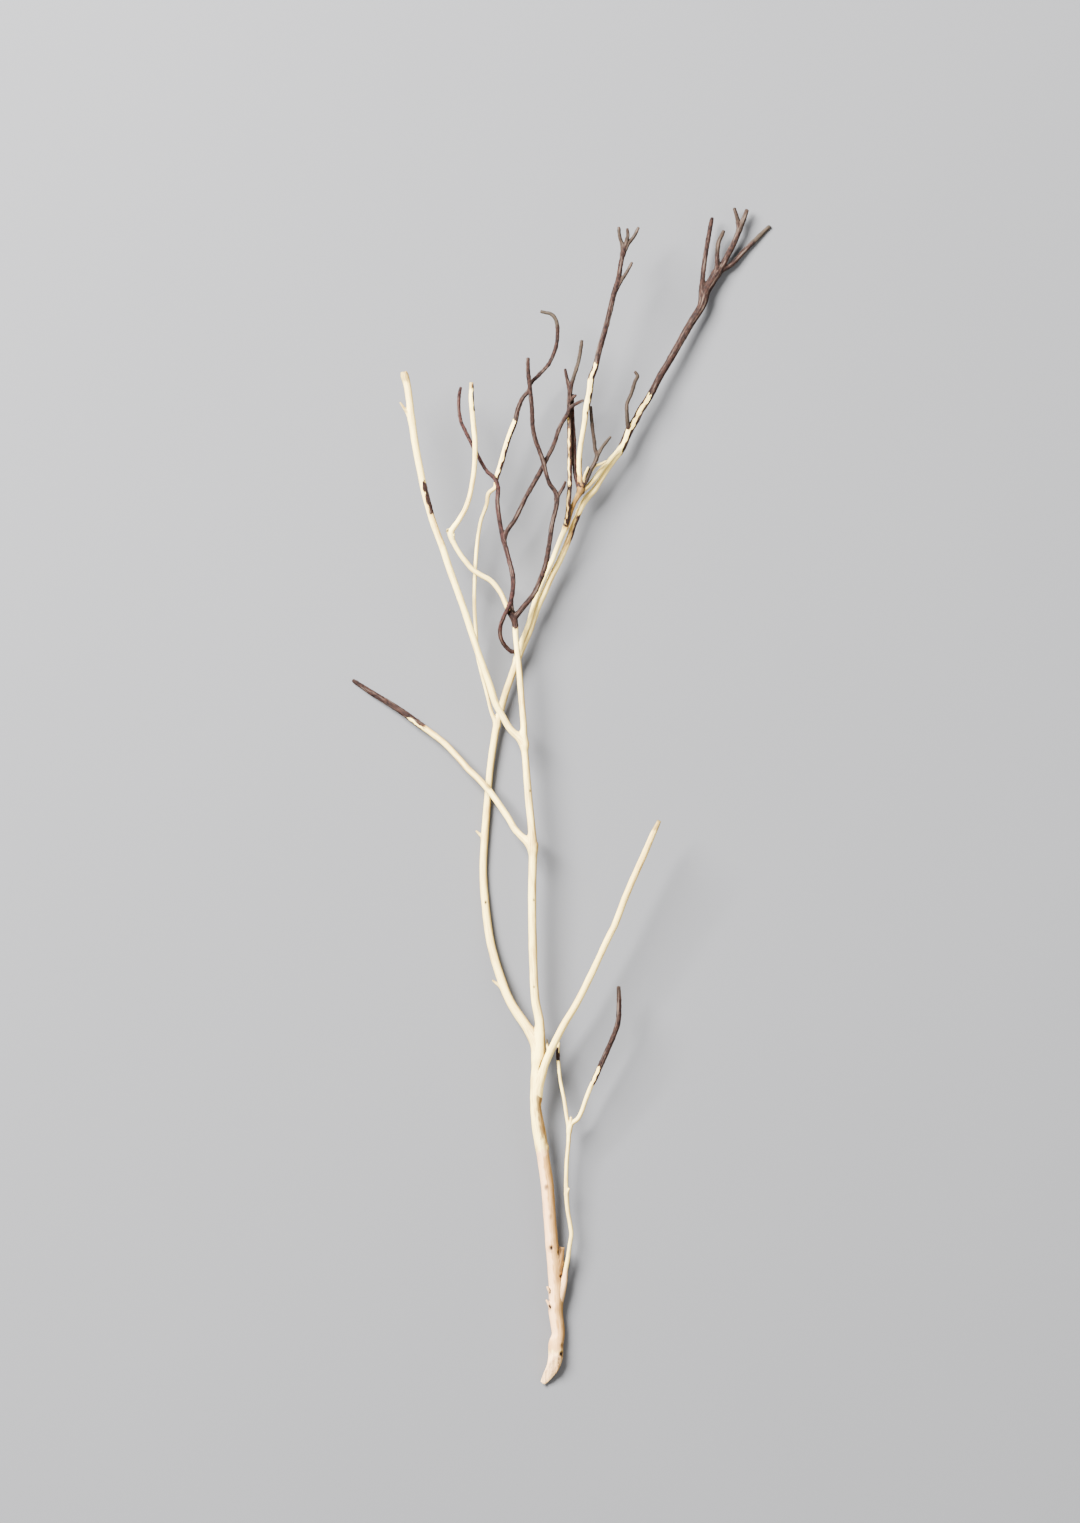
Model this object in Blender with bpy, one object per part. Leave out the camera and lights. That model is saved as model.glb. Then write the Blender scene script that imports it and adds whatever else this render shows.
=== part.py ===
"""A fallen tree branch, mostly peeled of its bark, lying on the ground. Blender 4.5, metres, +Z up.

The branch is one piece of wood with many limbs. It is parted at its main forks, so that each limb is one
closed solid with its own small twigs and spurs fused on. A limb stops a hair short of the one that carries it.
"""

import math

import bmesh
import bpy
from mathutils import Matrix, Vector

MM = 0.001

GAP = 0.3  # between a limb and the limb that carries it
FINE_STEP = 1.0  # spacing of the fine points of every curve
CHORD_ERROR = 0.28  # how far a limb may bend away from its facets
LONGEST_FACET = 26.0
TAPER_STEP = 0.14  # change of thickness, as a share, that calls for a new ring
THICK_SIDES = 8
THIN_SIDES = 6
THIN_LIMB = 4.6

# Where the long routes are parted into limbs, as distances from the butt towards the crown.
FIRST_FORK = 331
UPPER_FORK = 768
TWIN_FORK = 731
CROWN_BASE = 934
KNOT = 898

# The slanting tear at the butt: where its face starts on top, where it ends, and the height it leaves there.
TEAR_START = 30
TEAR_END = -2
TEAR_TOP = 15.0
TEAR_TIP = 2.6

# A route is the centre line of a limb on the ground plan: x is across, y runs from the butt to the crown, and
# z is the height above the ground. Each row is (across, along, height, thickness) in millimetres.
ROUTES = {
    # The stem, the middle limb that follows it, and the kinked branch at its end.
    "stem": [
        (-7.4, 0.8, 6.0, 6.4),
        (-4.0, 6, 6.6, 10.0),
        (2.0, 16, 6.9, 13.8),
        (5.2, 26, 7.2, 14.6),
        (6.0, 39, 7.3, 14.8),
        (8.3, 49, 6.7, 13.2),
        (7.7, 58, 6.9, 13.8),
        (5.5, 73, 7.6, 13.8),
        (5.4, 84, 8.0, 13.2),
        (5.2, 95, 8.6, 12.6),
        (3.3, 124, 10.6, 12.5),
        (1.5, 144, 12.0, 12.7),
        (-0.7, 174, 14.2, 12.6),
        (-3.2, 204, 16.4, 12.5),
        (-6.5, 224, 17.8, 12.2),
        (-9.6, 245, 19.0, 12.9),
        (-11.7, 257, 19.8, 12.9),
        (-13.7, 274, 20.8, 11.2),
        (-14.3, 288, 21.6, 10.5),
        (-14.0, 314, 23.0, 9.0),
        (-11.0, 328, 23.8, 10.0),
        (-9.3, 344, 24.6, 8.8),
        (-10.7, 364, 25.6, 8.9),
        (-14.5, 384, 26.6, 8.3),
        (-17.0, 434, 28.4, 8.1),
        (-17.8, 484, 29.4, 8.0),
        (-17.4, 514, 29.9, 7.9),
        (-17.0, 537, 30.2, 8.3),
        (-18.5, 559, 30.5, 7.4),
        (-21.0, 584, 30.8, 7.2),
        (-24.0, 619, 31.1, 6.7),
        (-26.0, 642, 31.3, 7.1),
        (-26.3, 659, 31.4, 6.0),
        (-28.3, 684, 31.5, 5.9),
        (-31.2, 719, 31.8, 5.7),
        (-33.9, 744, 32.2, 5.4),
        (-35.8, 764, 32.8, 5.5),
        (-41.8, 774.8, 33.6, 5.1),
        (-50.0, 792, 35.2, 4.9),
        (-59.0, 803, 36.6, 4.9),
        (-69.9, 809.3, 38.2, 4.9),
        (-77.0, 814, 39.4, 4.9),
        (-84.0, 822, 41.0, 4.9),
        (-90.0, 830, 42.4, 4.9),
        (-95.4, 839.3, 43.8, 5.0),
        (-99.2, 850, 45.2, 5.3),
        (-91.2, 863.5, 46.8, 4.9),
        (-85.6, 872.8, 47.8, 4.9),
        (-81.0, 885, 49.0, 4.8),
        (-77.0, 904, 50.6, 4.8),
        (-75.1, 923, 52.2, 4.8),
        (-75.0, 943, 53.8, 4.8),
        (-76.6, 961.5, 55.2, 4.8),
        (-78.6, 983, 56.8, 4.7),
        (-78.4, 1000.5, 58.0, 4.2),
    ],
    # The left limb, the outer one of the twin limbs above it, and the leaning crown limb up to its last fork.
    "left": [
        (-12.0, 326, 23.0, 9.6),
        (-13.8, 337, 21.8, 9.8),
        (-21.4, 354, 19.2, 9.8),
        (-39.3, 381.4, 14.8, 8.8),
        (-49.2, 406, 11.2, 8.5),
        (-59.0, 440, 7.2, 8.1),
        (-65.1, 484, 4.2, 7.8),
        (-66.7, 517, 3.6, 7.2),
        (-65.0, 550, 4.0, 7.2),
        (-62.8, 579, 5.0, 7.0),
        (-60.0, 614, 6.4, 6.7),
        (-56.5, 639, 7.4, 6.7),
        (-53.0, 660, 8.2, 7.0),
        (-50.0, 671, 8.6, 6.9),
        (-45.3, 688, 9.2, 6.7),
        (-37.0, 712, 10.2, 6.7),
        (-30.6, 730, 10.9, 6.8),
        (-27.0, 738, 11.2, 6.6),
        (-20.0, 754.4, 11.8, 6.5),
        (-12.7, 776, 12.6, 6.5),
        (-5.5, 792, 13.2, 6.5),
        (1.6, 808, 13.9, 6.4),
        (9.8, 824, 14.7, 6.3),
        (20.0, 848, 16.2, 6.0),
        (22.6, 857, 16.8, 5.8),
        (27.3, 868, 17.5, 5.6),
        (33.2, 881, 18.2, 6.4),
        (38.2, 888, 18.6, 6.6),
        (44.0, 893.8, 18.8, 6.2),
        (50.2, 903.7, 18.9, 5.3),
        (57.0, 914, 18.9, 5.2),
        (63.6, 923.6, 18.8, 5.6),
        (71.0, 934.5, 18.6, 6.8),
        (79.0, 953.4, 18.2, 7.4),
        (85.7, 964.2, 17.9, 6.8),
        (90.4, 973.6, 17.6, 6.7),
        (98.0, 985, 17.2, 6.5),
        (112.0, 1011.4, 16.2, 6.2),
        (116.4, 1018.2, 15.8, 6.1),
        (125.7, 1034.4, 14.8, 6.5),
        (140.0, 1059.6, 12.8, 7.2),
        (151.8, 1079, 11.0, 7.8),
        (156.0, 1093.3, 9.8, 8.9),
        (160.7, 1101.3, 9.0, 8.6),
        (165.5, 1109.3, 8.4, 8.2),
        (169.5, 1115.5, 8.2, 7.0),
        (173.4, 1121, 8.4, 5.6),
        (179.9, 1133.2, 8.9, 5.2),
        (185.5, 1144.3, 9.3, 5.0),
        (191.0, 1158.7, 9.7, 4.8),
        (195.0, 1168.3, 9.9, 3.9),
        (197.0, 1174.2, 9.9, 3.0),
    ],
    "right": [
        (-12.6, 286, 21.8, 6.6),
        (-10.4, 297, 25.4, 7.2),
        (-7.6, 309, 28.6, 7.5),
        (-4.8, 320, 30.6, 7.4),
        (6.3, 344.7, 33.4, 7.1),
        (15.8, 362.5, 35.4, 7.0),
        (25.7, 378.6, 37.2, 6.9),
        (45.0, 417.4, 41.2, 6.7),
        (59.9, 449.6, 44.4, 6.6),
        (64.5, 458.6, 45.4, 6.6),
        (76.2, 489, 48.4, 6.6),
        (89.4, 519, 51.4, 6.4),
        (92.9, 526.6, 52.2, 6.3),
        (102.0, 548, 54.2, 5.8),
        (109.0, 563, 55.6, 4.0),
    ],
    "left_side": [
        (-17.2, 535.5, 30.0, 7.0),
        (-22.0, 541, 29.0, 6.9),
        (-31.0, 550.2, 26.6, 6.5),
        (-35.6, 555.6, 25.2, 6.4),
        (-42.1, 566.6, 23.4, 6.3),
        (-57.0, 588.4, 19.8, 6.2),
        (-61.6, 594.1, 19.0, 6.5),
        (-70.8, 604.4, 17.4, 6.1),
        (-80.8, 614, 15.6, 6.1),
        (-90.0, 624.3, 13.6, 6.0),
        (-104.0, 639.4, 11.2, 6.0),
        (-119.4, 651.6, 9.1, 5.9),
        (-134.0, 662.2, 7.4, 5.8),
        (-145.0, 670.4, 6.2, 5.5),
        (-164.1, 682.7, 4.2, 5.1),
        (-179.4, 692, 2.6, 4.7),
        (-188.0, 697.6, 2.1, 4.2),
        (-197.0, 703.5, 1.6, 3.0),
    ],
    "upper_left": [
        (-25.6, 640, 31.3, 6.8),
        (-30.0, 645, 31.8, 6.9),
        (-39.8, 655, 32.8, 6.6),
        (-46.7, 666.4, 34.0, 6.6),
        (-53.6, 679.1, 35.4, 6.6),
        (-61.0, 701.1, 38.0, 6.6),
        (-71.2, 729.7, 41.6, 6.6),
        (-80.6, 758.5, 45.0, 6.5),
        (-91.0, 789.2, 48.6, 6.5),
        (-99.8, 813.4, 51.4, 6.6),
        (-108.0, 838, 54.0, 6.7),
        (-117.4, 863.7, 56.6, 6.7),
        (-124.8, 890.1, 59.0, 6.8),
        (-129.3, 912.4, 61.0, 6.8),
        (-133.7, 934.7, 62.8, 6.8),
        (-138.1, 964.1, 65.2, 6.9),
        (-140.4, 984, 66.8, 6.9),
        (-142.7, 999, 67.8, 7.3),
        (-145.2, 1008, 68.4, 8.2),
        (-145.8, 1010.6, 68.6, 6.6),
    ],
    "thin_pale": [
        (-52.0, 658, 8.2, 4.0),
        (-55.4, 664, 9.8, 3.9),
        (-59.3, 674.5, 12.0, 3.5),
        (-62.5, 688, 14.2, 3.2),
        (-69.2, 713.4, 17.6, 3.2),
        (-73.3, 732, 20.0, 3.2),
        (-73.7, 748, 21.8, 3.2),
        (-75.5, 776, 25.0, 3.4),
        (-75.4, 801, 27.6, 3.4),
        (-73.4, 834, 31.0, 3.5),
        (-69.2, 862.4, 34.0, 3.4),
        (-63.2, 879.8, 35.8, 3.7),
        (-61.2, 890.5, 36.8, 4.2),
        (-54.8, 896.6, 37.6, 3.9),
        (-53.8, 905, 38.4, 4.4),
        (-49.0, 920.2, 39.6, 5.0),
        (-43.4, 940, 40.8, 5.0),
        (-39.2, 952, 41.4, 5.2),
        (-34.4, 964.2, 42.0, 4.9),
        (-32.2, 974.2, 42.5, 4.3),
        (-27.0, 986.2, 43.2, 3.6),
        (-22.0, 992, 43.6, 3.4),
        (-18.5, 1001.4, 44.2, 3.4),
        (-13.2, 1006.7, 44.7, 3.3),
        (-7.0, 1013, 45.4, 3.2),
        (-1.7, 1019, 46.1, 3.2),
        (2.9, 1028.1, 47.2, 3.2),
        (6.3, 1038.1, 48.4, 3.2),
        (7.5, 1049.6, 49.8, 3.2),
        (7.0, 1060, 51.0, 3.2),
        (4.4, 1066.4, 51.8, 3.1),
        (-0.2, 1070, 52.3, 3.0),
        (-4.8, 1070.8, 52.6, 2.8),
        (-9.3, 1072.1, 52.8, 2.4),
    ],
    "looping": [
        (-31.6, 731, 11.0, 3.6),
        (-34.6, 732.2, 13.0, 3.5),
        (-38.6, 732.6, 15.6, 3.5),
        (-45.0, 738.3, 20.0, 3.5),
        (-49.3, 746.3, 24.8, 3.5),
        (-49.6, 757, 30.6, 3.5),
        (-46.6, 766, 35.6, 3.5),
        (-43.0, 774, 39.2, 3.6),
        (-39.5, 782, 41.2, 3.9),
        (-37.0, 797, 42.4, 4.1),
        (-37.0, 806, 42.8, 4.2),
        (-38.6, 815, 43.0, 4.2),
        (-41.0, 824, 43.2, 4.0),
        (-45.0, 839, 43.4, 4.1),
        (-47.4, 848, 43.6, 4.0),
        (-50.7, 864.7, 43.8, 3.8),
        (-52.6, 882, 44.2, 3.8),
        (-52.1, 897, 44.6, 3.8),
        (-55.6, 905.6, 44.4, 3.5),
        (-63.1, 912.6, 43.6, 3.2),
        (-69.0, 922.1, 42.8, 3.1),
        (-73.0, 930, 42.2, 3.1),
        (-79.0, 941.5, 41.4, 3.0),
        (-84.5, 952.5, 40.8, 3.0),
        (-89.0, 962.5, 40.2, 2.9),
        (-91.0, 975, 39.6, 2.8),
        (-90.8, 989, 39.2, 2.6),
        (-89.2, 996.2, 39.0, 2.2),
    ],
    "crossing": [
        (-46.4, 843, 43.4, 3.8),
        (-43.4, 852, 43.6, 3.9),
        (-35.6, 863.6, 43.6, 3.8),
        (-28.1, 878.5, 43.4, 3.8),
        (-24.0, 887, 43.2, 3.8),
        (-10.5, 910.7, 42.4, 4.0),
        (-4.8, 922.2, 42.0, 3.7),
        (3.7, 939, 41.8, 3.5),
        (9.5, 956.1, 41.7, 3.5),
        (17.0, 969.2, 41.6, 3.3),
        (20.0, 975.4, 41.6, 3.1),
        (27.9, 981, 41.8, 2.7),
        (33.4, 983.4, 42.2, 2.3),
    ],
    "dark_right": [
        (-36.2, 766, 32.8, 4.6),
        (-33.2, 769, 33.2, 4.8),
        (-26.1, 777.6, 34.2, 4.5),
        (-16.2, 790, 35.6, 4.4),
        (-10.6, 802, 36.8, 4.3),
        (-4.6, 818.6, 38.2, 4.4),
        (-1.0, 838, 39.6, 4.3),
        (2.0, 859, 41.0, 4.2),
        (6.0, 876, 42.2, 4.1),
        (7.0, 885, 43.0, 4.5),
        (5.4, 891.6, 43.9, 3.9),
        (-0.7, 900.8, 45.4, 3.5),
        (-4.7, 913.5, 47.0, 3.6),
        (-6.7, 922.1, 47.8, 4.0),
        (-10.5, 932.7, 48.6, 3.8),
        (-14.3, 943.2, 49.4, 4.0),
        (-17.2, 956.6, 50.4, 3.9),
        (-18.1, 975.7, 51.8, 3.8),
        (-20.0, 995, 53.2, 3.7),
        (-22.0, 1014, 54.4, 3.4),
        (-22.0, 1025, 55.0, 3.0),
    ],
    # The inner one of the twin limbs, up to the knot, and the upright limb that grows from the knot.
    "inner": [
        (-33.6, 726, 11.0, 4.6),
        (-30.8, 735, 14.0, 4.8),
        (-27.4, 745, 15.6, 4.7),
        (-21.6, 759.7, 17.0, 4.7),
        (-16.2, 779.4, 18.2, 4.7),
        (-10.0, 797.2, 19.2, 4.7),
        (-3.0, 812.4, 20.0, 4.7),
        (2.5, 824, 20.8, 4.8),
        (8.2, 839, 22.0, 4.8),
        (13.6, 852, 23.2, 5.0),
        (17.6, 862, 24.4, 5.2),
        (20.8, 872, 25.8, 5.0),
        (24.6, 882, 27.2, 5.0),
        (29.4, 891, 28.8, 6.2),
        (30.6, 896, 30.2, 6.0),
        (30.2, 902, 32.4, 5.2),
        (29.0, 915, 36.4, 5.0),
        (30.0, 933, 41.0, 4.9),
        (32.9, 951, 45.0, 4.7),
        (35.0, 964, 47.4, 5.0),
        (35.9, 973.6, 49.0, 5.4),
        (39.5, 991.5, 51.4, 5.8),
        (41.3, 1006, 52.8, 5.8),
        (45.2, 1016, 53.6, 5.3),
        (49.3, 1033.5, 54.9, 5.1),
        (54.4, 1051, 56.2, 5.0),
        (59.0, 1069, 57.5, 4.9),
        (63.5, 1088.3, 58.9, 4.8),
        (67.6, 1101.4, 59.9, 4.8),
        (70.7, 1119, 61.2, 4.1),
        (73.3, 1132, 62.1, 4.2),
        (75.4, 1139, 63.0, 3.4),
        (77.6, 1147.3, 64.0, 3.0),
        (77.2, 1154.2, 64.8, 2.2),
    ],
    "grey": [
        (15.6, 856, 23.6, 4.2),
        (17.0, 864, 27.0, 4.3),
        (18.2, 874, 30.4, 4.2),
        (18.8, 885, 32.6, 4.1),
        (19.6, 896, 33.8, 4.0),
        (19.8, 906, 34.6, 4.0),
        (19.8, 929, 35.6, 4.1),
        (19.6, 952, 36.4, 4.0),
        (19.0, 978, 37.0, 3.8),
        (20.6, 996, 37.8, 3.9),
        (24.6, 1009.6, 38.6, 3.3),
        (28.6, 1023, 39.6, 3.2),
        (31.2, 1038, 40.6, 2.9),
        (31.8, 1043, 40.9, 2.3),
    ],
    "red": [
        (30.2, 893, 29.0, 3.6),
        (27.6, 901, 30.0, 3.8),
        (25.2, 910.4, 30.2, 3.7),
        (24.3, 926, 30.4, 3.6),
        (24.1, 944, 30.8, 3.5),
        (22.6, 964, 31.3, 3.3),
        (22.2, 978, 32.0, 3.2),
        (22.6, 989, 32.8, 2.6),
    ],
    "twin_strand": [
        (30.6, 892.6, 29.0, 4.2),
        (35.8, 895.8, 27.6, 4.5),
        (43.2, 903.7, 26.0, 4.7),
        (51.2, 913.9, 24.8, 4.7),
        (58.6, 922.8, 24.0, 4.6),
        (66.0, 931, 22.8, 4.3),
        (71.6, 937, 20.2, 4.2),
    ],
    "tangled": [
        (31.0, 896, 30.6, 3.6),
        (35.4, 902, 31.4, 3.7),
        (40.7, 914, 33.6, 3.5),
        (45.0, 922, 35.4, 3.5),
        (47.0, 928, 36.6, 3.4),
        (45.0, 934.6, 37.6, 3.2),
        (44.3, 941.7, 38.4, 3.1),
        (43.0, 951.3, 39.4, 3.1),
        (41.6, 964, 40.4, 3.0),
        (40.6, 977, 41.2, 2.5),
    ],
    "hooked": [
        (80.0, 952.6, 18.4, 3.6),
        (78.0, 958.4, 21.8, 3.6),
        (77.0, 969.2, 26.6, 3.2),
        (77.0, 980, 30.4, 3.1),
        (81.4, 990.6, 33.6, 3.1),
        (85.0, 1002.2, 36.6, 3.1),
        (87.5, 1008, 38.0, 2.8),
        (85.0, 1012, 38.6, 2.3),
    ],
    "low_side": [
        (7.4, 78, 8.2, 6.0),
        (11.6, 90, 9.6, 6.6),
        (14.4, 101, 11.0, 5.6),
        (15.4, 111.6, 12.4, 4.7),
        (18.1, 126, 14.0, 4.3),
        (19.8, 138.4, 15.0, 3.9),
        (21.4, 150, 16.0, 4.0),
        (20.3, 159, 16.6, 3.9),
        (17.9, 173, 17.6, 3.9),
        (16.4, 191, 18.8, 4.2),
        (16.4, 211, 20.0, 3.8),
        (17.0, 226, 20.9, 3.8),
        (18.4, 240, 21.8, 3.8),
        (19.6, 255, 22.8, 4.4),
        (22.0, 260.4, 23.2, 4.4),
        (27.7, 265, 24.2, 4.3),
        (32.0, 273, 25.8, 4.2),
        (35.7, 284, 27.8, 4.3),
        (40.0, 295.2, 29.8, 4.5),
        (45.5, 307, 31.6, 4.7),
        (50.9, 319.4, 33.4, 4.6),
        (57.0, 333, 35.4, 4.5),
        (63.4, 348, 37.6, 4.5),
        (67.9, 361.3, 39.4, 4.5),
        (69.0, 379, 41.4, 4.3),
        (68.5, 397, 43.2, 3.4),
    ],
}

# The solids: the node's name, its route, the stretch of the route that it takes, and the routes it stops at.
LIMBS = [
    ("butt_stem", "stem", None, FIRST_FORK, []),
    ("centre_limb", "stem", FIRST_FORK, UPPER_FORK, []),
    ("kinked_branch", "stem", UPPER_FORK, None, []),
    ("left_limb", "left", None, TWIN_FORK, ["stem"]),
    ("outer_twin_limb", "left", TWIN_FORK, CROWN_BASE, []),
    ("crown_limb", "left", CROWN_BASE, None, []),
    ("right_limb", "right", None, None, ["stem"]),
    ("left_side_branch", "left_side", None, None, ["stem"]),
    ("upper_left_branch", "upper_left", None, None, ["stem"]),
    ("thin_pale_twig", "thin_pale", None, None, ["left"]),
    ("looping_twig", "looping", None, None, ["left", "inner"]),
    ("crossing_twig", "crossing", None, None, ["looping"]),
    ("dark_right_twig", "dark_right", None, None, ["stem"]),
    ("inner_twin_limb", "inner", None, KNOT, ["left"]),
    ("upright_limb", "inner", KNOT, None, []),
    ("grey_twig", "grey", None, None, ["inner"]),
    ("red_twig", "red", None, None, ["inner"]),
    ("twin_strand", "twin_strand", None, None, ["inner", "left"]),
    ("tangled_twigs", "tangled", None, None, ["inner", "twin_strand"]),
    ("hooked_twig", "hooked", None, None, ["left"]),
    ("low_side_twig", "low_side", None, None, ["stem"]),
]

# Small twigs, tips and spurs, each under the limb that it is fused to.
FUSED = {
    "butt_stem": [
        [(5.6, 106, 9.4, 5.4), (9.2, 116, 11.6, 5.6), (11.0, 126, 13.4, 5.2), (12.0, 136, 15.0, 4.9)],
        [(4.6, 70, 8.0, 4.0), (0.4, 77, 11.0, 3.2), (-3.4, 83.4, 12.6, 1.8)],
        [(4.0, 86, 8.4, 4.0), (-0.2, 92.4, 12.0, 3.0), (-2.6, 96.8, 13.0, 1.8)],
    ],
    "right_limb": [
        [(0.4, 331.4, 32.0, 3.0), (-2.4, 336.6, 31.2, 2.2), (-3.1, 344.4, 31.0, 1.5)],
    ],
    "left_limb": [
        [(-47.4, 396, 12.4, 3.8), (-52.4, 399.6, 13.6, 2.8), (-57.2, 403.4, 14.4, 1.7)],
        [(-65.4, 545.6, 4.0, 3.8), (-69.8, 549.2, 5.4, 2.8), (-73.7, 552.8, 6.2, 1.7)],
    ],
    "upper_left_branch": [
        [(-137.8, 962, 65.2, 4.4), (-141.8, 969.6, 66.6, 3.6), (-146, 975.6, 67.6, 2.7), (-149.4, 980.7, 68.2, 1.7)],
    ],
    "kinked_branch": [
        [(-97.0, 848, 44.8, 4.4), (-102.8, 853.4, 45.6, 3.4)],
    ],
    "dark_right_twig": [
        [(5.6, 884, 43.0, 3.4), (10.0, 891.4, 43.0, 3.0), (13.6, 897.2, 42.6, 2.8), (15.4, 902.0, 42.2, 2.0)],
        [(-34.2, 767.4, 32.8, 3.6), (-37.6, 774, 29.6, 3.0), (-38.2, 782, 28.6, 2.8), (-38.0, 792, 28.2, 2.2)],
    ],
    "grey_twig": [
        [(20.0, 993, 37.6, 3.6), (17.0, 1005, 38.2, 3.0), (15.2, 1014.5, 38.8, 2.2)],
        [(19.6, 983, 37.2, 3.0), (24.2, 987.4, 38.2, 2.4), (26.0, 988.6, 38.4, 1.8)],
    ],
    "upright_limb": [
        [(66.2, 1094.4, 59.4, 3.8), (69.8, 1101, 60.4, 3.3), (76.0, 1110, 61.4, 2.8), (81.8, 1120.5, 62.4, 2.1)],
        [(73.0, 1130, 62.0, 3.6), (71.8, 1139, 62.8, 3.1), (69.5, 1147.3, 63.6, 2.8), (68.6, 1155.7, 64.4, 2.1)],
        [(73.2, 1130, 62.0, 3.6), (78.3, 1139.6, 62.6, 3.1), (83.7, 1146.5, 63.0, 2.8), (88.3, 1155.5, 63.4, 2.1)],
    ],
    "tangled_twigs": [
        [(46.4, 926, 36.2, 3.2), (49.6, 932.4, 37.4, 3.0), (54.0, 939, 38.2, 2.8), (60.5, 947, 39.2, 2.0)],
        [(39.8, 912, 33.2, 3.0), (44.6, 917.6, 33.4, 2.9), (51.4, 920.2, 32.6, 2.7), (55.9, 922.5, 31.8, 2.1)],
        [(33.6, 899.6, 31.4, 3.0), (33.8, 905, 33.8, 2.6), (35.8, 911, 35.8, 2.5), (38.2, 916.4, 37.0, 2.0)],
    ],
    "low_side_twig": [
        [
            (19.4, 253, 22.6, 3.8),
            (17.0, 266, 22.8, 3.5),
            (14.3, 284, 22.9, 3.2),
            (10.7, 301.5, 22.8, 3.1),
            (8.5, 321, 22.6, 3.2),
            (7.8, 330, 22.4, 3.2),
            (8.8, 341, 22.2, 2.6),
        ],
        [(19.8, 256, 23.2, 3.4), (21.0, 266.4, 25.2, 2.1)],
        [(16.4, 190, 18.8, 3.0), (18.8, 195, 20.6, 2.2)],
    ],
    "crown_limb": [
        [
            (152.6, 1085, 10.6, 6.4),
            (152.0, 1094, 11.2, 5.0),
            (152.4, 1103, 11.8, 4.4),
            (154.4, 1121.2, 12.8, 4.1),
            (157.5, 1141.2, 14.0, 4.0),
            (161.5, 1163, 15.2, 3.5),
            (162.2, 1166, 15.4, 2.8),
        ],
        [
            (167.0, 1110, 9.0, 5.0),
            (167.4, 1120, 10.8, 4.2),
            (167.5, 1133.2, 12.6, 3.8),
            (168.7, 1142, 13.8, 3.7),
            (171.9, 1149.1, 14.8, 3.4),
            (173.9, 1153, 15.2, 2.6),
        ],
        [(189.6, 1155, 9.6, 4.2), (187.0, 1167.5, 10.8, 3.4), (184.5, 1175.8, 11.6, 2.6)],
        [
            (166.4, 1110.4, 8.0, 5.4),
            (172.4, 1114.8, 7.2, 4.6),
            (178.3, 1117.4, 6.4, 4.0),
            (184.7, 1122.8, 5.4, 3.9),
            (194.2, 1133.2, 3.9, 3.9),
            (202.2, 1141.2, 2.8, 3.9),
            (211.8, 1150.7, 1.9, 3.7),
            (219.7, 1158, 1.5, 2.9),
        ],
    ],
}

PEELED = (0.80, 0.70, 0.52)
HALF_PEELED = (0.45, 0.34, 0.26)
BARK = (0.12, 0.06, 0.05)

# Colour and roughness of each limb's wood. A limb that isn't listed is peeled.
FINISHES = {
    "thin_pale_twig": (HALF_PEELED, 0.60),
    "looping_twig": (BARK, 0.55),
    "crossing_twig": (BARK, 0.55),
    "dark_right_twig": (BARK, 0.55),
    "grey_twig": (BARK, 0.60),
    "red_twig": (BARK, 0.55),
    "twin_strand": (HALF_PEELED, 0.60),
    "tangled_twigs": (BARK, 0.55),
    "hooked_twig": (BARK, 0.55),
    "crown_limb": (BARK, 0.55),
}


def blended(a, b, t, start, end):
    return a.lerp(b, (t - start) / (end - start))


def catmull_rom(corners, knots, t):
    """The centripetal Catmull-Rom curve through four corners, at knot value t."""
    k0, k1, k2, k3 = knots
    p0, p1, p2, p3 = corners
    a = blended(p0, p1, t, k0, k1)
    b = blended(p1, p2, t, k1, k2)
    c = blended(p2, p3, t, k2, k3)
    return blended(blended(a, b, t, k0, k2), blended(b, c, t, k1, k3), t, k1, k2)


def smooth_curve(rows):
    """Fine points of the curve through the rows, as (place, thickness)."""
    corners = [Vector(row) for row in rows]
    corners = [2 * corners[0] - corners[1]] + corners + [2 * corners[-1] - corners[-2]]
    fine = []
    for four in zip(corners, corners[1:], corners[2:], corners[3:]):
        knots = [0.0]
        for a, b in zip(four, four[1:]):
            knots.append(knots[-1] + math.sqrt((b - a).xyz.length))
        count = max(2, math.ceil((four[2] - four[1]).xyz.length / FINE_STEP))
        for i in range(count):
            t = knots[1] + (knots[2] - knots[1]) * i / count
            fine.append(catmull_rom(four, knots, t))
    fine.append(corners[-2])
    return [(point.xyz, point.w) for point in fine]


def directions(curve):
    """The direction of the curve at each of its points."""
    places = [place for place, _ in curve]
    ahead = places[1:] + places[-1:]
    behind = places[:1] + places[:-1]
    return [(a - b).normalized() for a, b in zip(ahead, behind)]


def needs_ring(curve, last, i):
    """Whether the facets from the last ring have to end before point i."""
    start, thickness = curve[last]
    end, end_thickness = curve[i]
    chord = end - start
    if chord.length > LONGEST_FACET or abs(end_thickness / thickness - 1) > TAPER_STEP:
        return True
    along = chord.normalized()
    return any((p - start).cross(along).length > CHORD_ERROR for p, _ in curve[last + 1 : i])


def ring_points(curve):
    """The numbers of the curve's points that get a ring."""
    kept = [0]
    for i in range(2, len(curve)):
        if needs_ring(curve, kept[-1], i):
            kept.append(i - 1)
    kept.append(len(curve) - 1)
    return kept


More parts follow.
